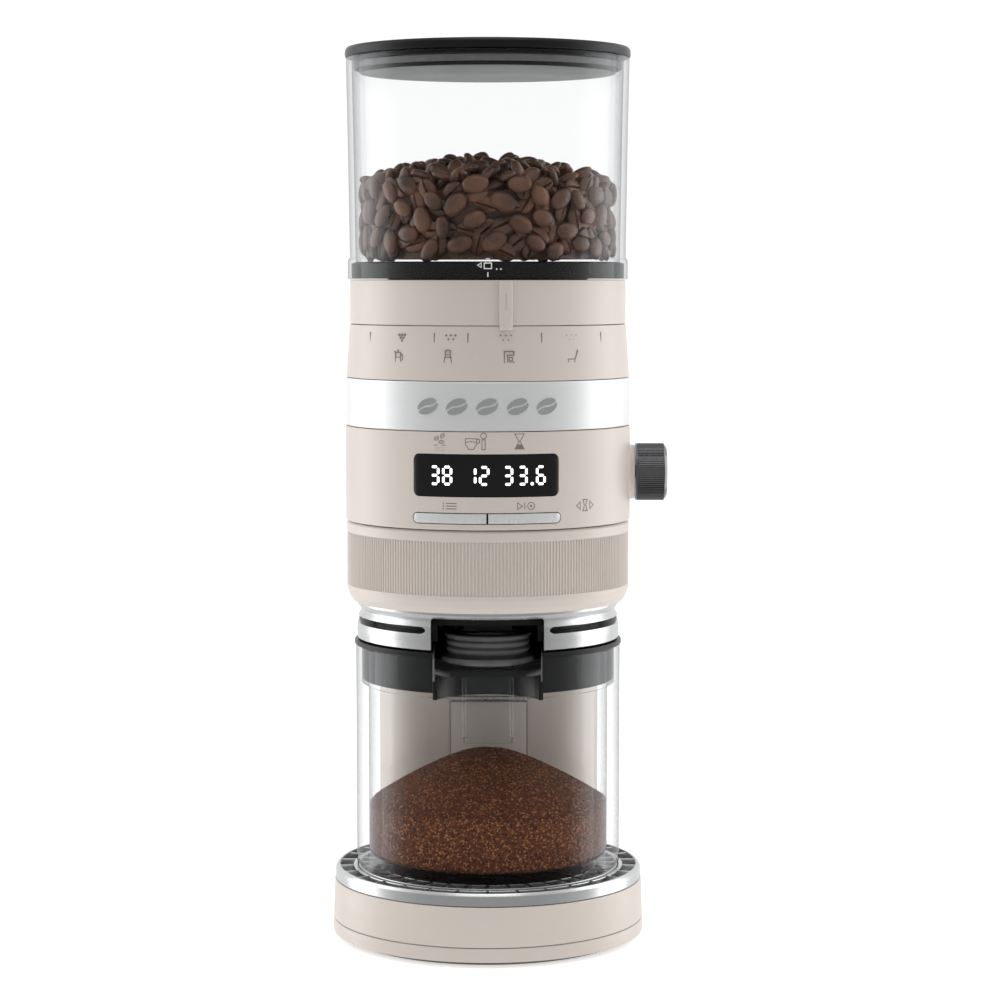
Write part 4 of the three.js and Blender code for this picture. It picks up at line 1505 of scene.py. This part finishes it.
def key_signs(signs):
    z = key_boxes[0].top + 3.4
    for row in (-1.2, 0, 1.2):
        signs.oval((-19.6, z + row), 0.35, 0.35, filled=True, steps=8)
        signs.stroke([(-18.4, z + row), (-13.6, z + row)], 0.4)
    signs.stroke([(13.4, z + 1.5), (15.6, z), (13.4, z - 1.5)], 0.35, closed=True)
    signs.stroke([(16.7, z + 1.5), (16.7, z - 1.5)], 0.35)
    signs.oval((19.6, z), 1.6, 1.6, width=0.35)
    signs.oval((19.6, z), 0.55, 0.55, filled=True, steps=10)
    at = 47.5
    for side in (-1, 1):
        signs.stroke([(at + side * 2.9, z + 0.9), (at + side * 5.0, z - 0.8), (at + side * 2.9, z - 2.5)],
                     0.4, closed=True)
    waist = [(at - 1.3, z + 1.8), (at + 1.3, z + 1.8), (at + 0.4, z - 0.6), (at + 1.3, z - 3.2),
             (at - 1.3, z - 3.2), (at - 0.4, z - 0.6)]
    signs.stroke(waist, 0.45, closed=True)
    return signs.made()


dress(key_signs(display_signs()), "ink", body="housing")

# %% [markdown]
# ## The bean hopper
# The hopper is clear plastic: a wall a few millimetres thick that widens towards the rim, on a thick
# flange. Both faces of the wall are modelled, because each one gives its own reflection, and the
# thick foot and rim then show as the darker lines that tell the eye it is plastic.

# %% Hopper wall
hopper_box = Extent("bean_hopper")
FLANGE_TOP = 312.6


def hopper_wall():
    foot, top, radius = hopper_box.foot, hopper_box.top, hopper_box.radius
    return turn("bean_hopper_wall", rounded([
        (46, foot, 0.3), (radius - 0.5, foot, 0.5), (radius - 0.5, FLANGE_TOP, 0.5),
        (63.2, FLANGE_TOP + 1.4, 0.6), (64, 369, 30), (radius, top, 0.6), (radius - 2.6, top, 0.6),
        (61.4, 369, 30), (60.6, FLANGE_TOP + 1.4), (60.6, foot + 2.5, 0.8), (46, foot + 2.5, 0.3),
    ]), 256)


dress(hopper_wall(), "hopper", "bean_hopper")

# %% Floor of the hopper
funnel_box = Extent("hopper_funnel")


def hopper_floor():
    foot = funnel_box.foot
    return turn("hopper_floor", rounded([
        (24, foot, 0.4), (45.6, foot, 0.4), (45.6, hopper_box.foot + 0.3),
        (62.5, hopper_box.foot + 0.3, 0.4), (62.5, foot + 13.9, 0.4),
        (62.5, funnel_box.top - 1.4, 0.3), (60.2, funnel_box.top - 0.6, 0.3), (24, foot + 7, 1.5),
    ]), 192)


dress(hopper_floor(), "black", "hopper_funnel")


# %% Lock sign on the flange
def lock_sign():
    sign = Print("hopper_lock_sign", hopper_box.radius - 0.5)
    z = FLANGE_TOP - 4.2
    sign.stroke([(-1.3, z + 0.4), (1.9, z + 0.4), (1.9, z + 2.8), (-1.3, z + 2.8)], 0.45,
                closed=True)
    sign.stroke([(-0.6, z + 2.9), (-0.6, z + 4.1), (-0.1, z + 4.8), (0.7, z + 4.8), (1.2, z + 4.1),
                 (1.2, z + 2.9)], 0.4)
    sign.stroke([(-2.6, z + 2.9), (-2.6, z + 0.9), (-4.2, z + 1.9)], 0.35, closed=True)
    sign.stroke([(0.3, z - 1.2), (0.3, z - 3.2)], 0.5)
    for along in (4.2, 6.0):
        sign.oval((along, z + 0.2), 0.4, 0.4, filled=True, steps=8)
    return sign.made()


dress(lock_sign(), "white ink", body="hopper")

# %% [markdown]
# ## The hopper lid
# A moulded lid: a plug that drops into the hopper with a grey sealing ring, a rim that rests on the
# wall, and a dished top with a bar across it to lift it by.

# %% Lid and seal
lid_box = Extent("hopper_lid")
seal_box = Extent("lid_seal")


def lid_moulding():
    foot, top, radius = lid_box.foot, lid_box.top, lid_box.radius
    rim = hopper_box.top + 0.3
    cap = turn("hopper_lid_moulding", rounded([
        (0, foot), (58.4, foot, 0.6), (59, foot + 2, 1), (59, rim), (radius - 0.2, rim, 0.4),
        (radius, rim + 1.2, 1), (radius - 0.1, top - 1.2, 1), (radius - 0.9, top, 0.5),
        (59, top, 1.2), (53, foot + 5, 2), (0, foot + 5),
    ], 6), 256)
    bar = soften(slab("bar", -55.5, 55.5, -7, 7, foot + 4.5, top - 1.2), 1.2, 3)
    return fuse(cap, bar)


dress(lid_moulding(), "black", "hopper_lid")
seal = turn("lid_seal_ring", rounded([
    (59.3, seal_box.foot, 0.5), (61, seal_box.foot, 0.5), (61.2, seal_box.foot + 1.2, 0.3),
    (seal_box.radius, seal_box.top - 0.6, 0.5), (60.6, seal_box.top, 0.3), (59.3, seal_box.top, 0.3),
]), 192)
dress(seal, "rubber", "lid_seal")

# %% [markdown]
# ## Coffee beans
# A bean is a flattened egg with a deep crease down its flat side. One bean of a few dozen faces is
# enough, because the hopper holds hundreds. The heap is a dark core with the beans laid on it by the
# scatter tree. Two layers lie nearly flat against the wall, the outer one with its round sides out
# and the one behind with its creases out, and two layers on top are tumbled. Dropping them as rigid
# bodies would look right too, but takes minutes for each run.


# %% One bean
BEAN = {"length": 11.6, "width": 8.4, "thick": 5.4}


def coffee_bean(rings=9, sides=14):
    """A bean lying on its round side, crease up, its middle at the origin."""
    length, width, thick = BEAN.values()
    points = [(-length / 2, 0, 0.3)]
    for i in range(1, rings):
        t = -math.cos(math.pi * i / rings)
        swell = math.sqrt(1 - t * t)
        for k in range(sides):
            a = 2 * math.pi * k / sides + math.pi / 2
            across = math.cos(a) * width / 2 * swell
            up = math.sin(a)
            height = (up * 0.55 if up > 0 else up) * thick / 2 * swell ** 0.8
            if k == 0:
                height -= 1.5 * swell
            if k in (1, sides - 1):
                across *= 0.4
                height += 0.18
            points.append((t * length / 2, across, height))
    points.append((length / 2, 0, 0.3))
    last = len(points) - 1
    faces = []
    for k in range(sides):
        n = (k + 1) % sides
        faces += [(0, 1 + n, 1 + k), (last, last - sides + k, last - sides + n)]
        for i in range(rings - 2):
            a = 1 + i * sides
            faces.append((a + k, a + n, a + sides + n, a + sides + k))
    return build("bean", points, faces, 60)


print("a bean is", BEAN["length"], "mm long")

# %% The heap
BEAN_WALL = 60.6
HEAP = {"foot": FLANGE_TOP + 0.6, "edge": 349, "peak": 359}
BEAN_SIZES = {"Least": 0.86, "Most": 1.06}
BEANS_PER_M2 = 60000.0


def sheet(outline, steps=96):
    """A turned sheet without thickness, for growing copies on."""
    points = [(r * math.cos(2 * math.pi * k / steps), r * math.sin(2 * math.pi * k / steps), z)
              for r, z in outline for k in range(steps)]
    faces = [(i * steps + k, i * steps + (k + 1) % steps,
              (i + 1) * steps + (k + 1) % steps, (i + 1) * steps + k)
             for i in range(len(outline) - 1) for k in range(steps)]
    return build("sheet", points, faces, 180)


def mound(inset, drop, steps=8):
    """The heap's top, from the wall in to the peak, as (radius, height)."""
    rise = HEAP["peak"] - HEAP["edge"]
    return [((BEAN_WALL - inset) * (1 - k / steps) + 0.2,
             HEAP["edge"] - drop + rise * math.sin(math.pi / 2 * k / steps))
            for k in range(steps + 1)]


def bean_layer(template, outline, spacing, tilt, seed):
    return scatter.on(sheet(outline), 60, Copy=template, Spacing=spacing * MM,
                      Density=BEANS_PER_M2, Tilt=tilt, Seed=seed,
                      Finish=finishes["bean"], **BEAN_SIZES)


def twin(piece):
    """A copy of a piece, with a mesh of its own."""
    other = piece.copy()
    other.data = piece.data.copy()
    scene.collection.objects.link(other)
    return other


def gather(name, parts):
    """Joins separate bodies into one piece without cutting them."""
    work = bmesh.new()
    for part in parts:
        work.from_mesh(part.data)
        bpy.data.objects.remove(part)
    mesh = bpy.data.meshes.new(name)
    work.to_mesh(mesh)
    work.free()
    mesh.shade_smooth()
    piece = bpy.data.objects.new(name, mesh)
    scene.collection.objects.link(piece)
    return piece


def fill_hopper():
    bean = coffee_bean()
    foot, edge = HEAP["foot"] + 3, HEAP["edge"] - 3
    low = [(0, HEAP["foot"]), (BEAN_WALL - 8, HEAP["foot"])]
    core = turn("bean_core", low + mound(8, 6)[:-1] + [(0, HEAP["peak"] - 6)], 96)
    round_out = twin(bean)
    round_out.data.transform(Matrix.Rotation(math.pi, 4, "X"))
    at_wall, behind = BEAN_WALL - 3.9, BEAN_WALL - 5.6
    layers = [bean_layer(round_out, [(at_wall, foot), (at_wall, edge)], 9.6, 0.2, 3),
              bean_layer(bean, [(behind, foot), (behind, edge)], 6.6, 0.3, 8),
              bean_layer(round_out, mound(6.5, 1), 7.6, 0.9, 5),
              bean_layer(bean, mound(8, 4.5), 6.6, 0.8, 11)]
    count = sum(len(layer.data.vertices) for layer in layers) // len(bean.data.vertices)
    print(count, "beans")
    bpy.data.objects.remove(bean)
    bpy.data.objects.remove(round_out)
    return gather("coffee_beans", [core, *layers])


dress(fill_hopper(), "bean", body="hopper")

# %% [markdown]
# ## The jar
# The jar is thick glass: a heavy foot that flares a little, a straight wall, and a rebate inside its
# mouth for the lid. As with the hopper, the outside and the inside are one closed section.

# %% Glass
jar_box = Extent("jar_glass")
JAR = {"bore": 55.3, "floor": 38.0, "rebate": 118.5, "mouth": 58.4}


def glass_jar():
    foot, top, radius = jar_box.foot, jar_box.top, jar_box.radius
    return turn("grounds_jar_glass", rounded([
        (0, foot + 0.8), (44, foot + 0.8, 1), (47, foot, 1), (radius - 1.2, foot, 1),
        (radius, foot + 1.6, 1.2), (radius - 0.25, foot + 7, 4), (radius - 0.15, top, 0.9),
        (JAR["mouth"], top, 0.6), (JAR["mouth"], JAR["rebate"], 0.5),
        (JAR["bore"], JAR["rebate"] - 1.2, 1), (JAR["bore"], JAR["floor"], 3.0),
        (0, JAR["floor"]),
    ], 6), 256)


dress(glass_jar(), "glass", "jar_glass")

# %% [markdown]
# ## The jar's lid
# The lid stays on the jar while it pours: a slot runs in from the front, and a well in the middle
# takes the chute. The ring is turned, and the slot and the well are cut out of it.

# %% Lid of the jar
jar_lid_box = Extent("jar_lid")
WELL = {"radius": 26.5, "foot": 108, "shelf": (122.6, 125.6)}
POUR_SLOT = 24.5


def jar_lid():
    top, radius = jar_lid_box.top, jar_lid_box.radius
    skirt = JAR["mouth"] - 0.4
    rim = jar_box.top + 0.3
    ring = turn("jar_lid_moulding", rounded([
        (WELL["radius"], rim - 0.2), (skirt - 2.6, rim - 0.2, 0.6), (skirt - 2.6, 120, 0.4),
        (skirt, 120, 0.6), (skirt, rim), (radius - 0.1, rim, 0.3), (radius, rim + 0.7, 0.3),
        (radius - 0.15, rim + 1.1, 0.1), (radius, rim + 1.4, 0.1), (radius - 0.2, top, 0.5),
        (WELL["radius"], top, 0.6), (WELL["radius"] - 2, top - 1.6, 0.3),
        (WELL["radius"] - 2, WELL["shelf"][1]), (0, WELL["shelf"][1]), (0, WELL["shelf"][0]),
        (WELL["radius"] - 2, WELL["shelf"][0]), (WELL["radius"] - 2, WELL["foot"], 0.4),
        (WELL["radius"], WELL["foot"], 0.5),
    ]), 192)
    under, over = WELL["shelf"]
    cuts = [(POUR_SLOT, -80, -20, 100, 150), (POUR_SLOT, -80, 0, over, 150),
            (POUR_SLOT, -80, 0, 100, under), (12.3, -9.8, 9.8, 80, 150), (30, -30, 6, 100, 119)]
    tools = [slab("cutter", -half, half, *span) for half, *span in cuts]
    return soften(carve(ring, *tools), 0.35, 2, 50)


dress(jar_lid(), "black", "jar_lid")

# %% [markdown]
# ## Chute seal and spout
# A soft bellows of grey rubber closes the gap under the chute, so that no grounds fly out. Under it
# hangs a clear square spout with a wider shoulder. The seal is turned with a ripple in its section.

# %% Chute seal
chute_box = Extent("chute_seal")


def bellows():
    foot, top, flange = chute_box.foot, chute_box.top, chute_box.radius
    return turn("chute_seal_bellows", rounded([
        (12.6, foot, 0.4), (flange - 0.6, foot, 0.6), (flange, foot + 1.2, 0.8),
        (flange, foot + 3, 0.8),
        (20.2, foot + 3.9, 0.5), (18.6, foot + 4.9, 0.5), (20.1, foot + 6.6, 0.9),
        (18.7, foot + 8.3, 0.7), (20.0, foot + 10, 0.9), (18.9, foot + 11.4, 0.6),
        (20.2, foot + 12.6, 0.7), (20.2, top - 0.4, 0.5), (19.0, top, 0.5), (14.4, top, 0.8),
        (12.6, top - 2.4, 0.6),
    ], 6), 192)


dress(bellows(), "rubber", "chute_seal")

# %% Spout
spout_box = Extent("spout")
SPOUT = {"half": 12, "deep": 9.5, "wall": 1.4, "shoulder": 125.9, "edge": 2.2}


def clear_spout():
    half, deep, wall, edge = (SPOUT[name] for name in ("half", "deep", "wall", "edge"))
    foot, top, shoulder = spout_box.foot, spout_box.top, SPOUT["shoulder"]

    def level(out, z):
        outline = rounded([(-half - out, -deep - out, edge), (half + out, -deep - out, edge),
                           (half + out, deep + out, edge), (-half - out, deep + out, edge)], 6)
        return [(x, y, z) for x, y in outline]

    outside = [level(0, foot + 0.2), level(0, foot + 1), level(0, shoulder - 3), level(0.4, shoulder),
               level(2.2, shoulder + 0.3), level(2.4, top)]
    tube = loft("spout_moulding", outside)
    bore = loft("cutter", [level(-wall, foot - 2), level(-wall, top + 2)])
    seams = [slab("seam", x - 0.3, x + 0.3, -deep - 0.35, -deep + 0.6, foot + 3, shoulder - 4)
             for x in (-half + 2.4, half - 2.4)]
    return fuse(carve(tube, bore), *seams)


dress(clear_spout(), "glass", "spout")

# %% [markdown]
# ## Ground coffee
# The grounds lie as they fell: a cone under the spout, rounded at the peak, that runs down to the
# glass. The heap is a turned mesh with slow ripples, and Geometry Nodes strew many thousands of
# small grains over it, so that its outline and its face against the glass are rough.


# %% Heap of grounds
GROUNDS = {"peak": 86.5, "edge": 62.0, "round": 15.0}
GROUNDS_R = JAR["bore"] - 0.45
GRAINS_PER_M2 = 1.6e6


def drop_at(radius):
    """How far a cone with a rounded peak has fallen at a radius."""
    return math.sqrt(radius ** 2 + GROUNDS["round"] ** 2) - GROUNDS["round"]


def grounds_height(radius):
    """The cone, eased out towards the glass."""
    slope = drop_at(radius) / drop_at(GROUNDS_R)
    share = radius / GROUNDS_R
    fall = GROUNDS["peak"] - GROUNDS["edge"]
    return GROUNDS["peak"] - fall * (slope * 0.82 + 0.18 * share ** 2)


def heap_body():
    steps, rings = 160, 30
    foot = JAR["floor"] + 0.3
    outline = [(0, foot), (GROUNDS_R - 2.6, foot), (GROUNDS_R - 0.5, foot + 1.4),
               (GROUNDS_R, foot + 3.4)]
    outline += [(GROUNDS_R, foot + 3.4 + (GROUNDS["edge"] - foot - 3.4) * k / 12)
                for k in range(1, 13)]
    radii = [GROUNDS_R * (1 - k / rings) for k in range(1, rings + 1)]
    outline += [(radius, grounds_height(radius)) for radius in radii]
    heap = turn("heap", outline, steps)
    for vertex in heap.data.vertices:
        x, y, z = vertex.co / MM
        if z > GROUNDS["edge"] - 2:
            a = math.atan2(y, x)
            ripple = math.sin(3 * a + 0.7) * 0.9 + math.sin(7 * a + 2) * 0.35
            vertex.co.z += ripple * min(1, math.hypot(x, y) / 40) * MM
    return heap


def grain():
    points = [(0.62, 0, 0), (-0.5, 0.1, 0), (0, 0.5, 0.1), (0.1, -0.44, 0), (0, 0.1, 0.4),
              (0.05, 0, -0.38)]
    faces = [(0, 2, 4), (2, 1, 4), (1, 3, 4), (3, 0, 4), (2, 0, 5), (1, 2, 5), (3, 1, 5),
             (0, 3, 5)]
    return build("grain", points, faces, 180)


def fill_jar():
    heap = heap_body()
    crumb = grain()
    grains = scatter.on(twin(heap), 10, Copy=crumb, Spacing=0.85 * MM,
                        Density=GRAINS_PER_M2, Tilt=1.5,
                        Least=0.55, Most=1.15, Seed=21, Finish=finishes["grounds"])
    limit = (JAR["bore"] - 0.12) * MM
    for vertex in grains.data.vertices:
        reach = math.hypot(vertex.co.x, vertex.co.y)
        if reach > limit:
            vertex.co.x *= limit / reach
            vertex.co.y *= limit / reach
        vertex.co.z = max(vertex.co.z, (JAR["floor"] + 0.15) * MM)
    print(len(grains.data.vertices) // 6, "grains")
    bpy.data.objects.remove(crumb)
    return gather("ground_coffee", [heap, grains])


dress(fill_jar(), "grounds", body="jar")

# %% [markdown]
# ## What stays as it is in the frame
# The burrs, gears, motor and boards are hidden inside. Their plain solids have the right shape, so
# they stay, and only get a finish.

# %% Hidden parts
HIDDEN = {
    "cast": ["base_weight", "motor_bell", "gear_plate", "burr_housing", "burr_carrier"],
    "steel": ["motor_can", "motor_pinion", "idler_pin", "burr_shaft", "cone_burr", "burr_bolt",
              "ring_burr", "bean_gate"],
    "nylon": ["idler_gear", "burr_gear", "sweeper"],
    "bronze": ["lower_bearing", "upper_bearing"],
    "board": ["control_board", "display_board"],
    "black": ["knob_encoder", "grounds_duct", "grounds_funnel", "bayonet_ring"],
}
for finish, names in HIDDEN.items():
    for name in names:
        nodes[name].data.materials.clear()
        nodes[name].data.materials.append(finishes[finish])
left = [name for name, node in nodes.items() if not node.hide_render
        and name not in sum(HIDDEN.values(), [])]
print("parts without a finish:", left)
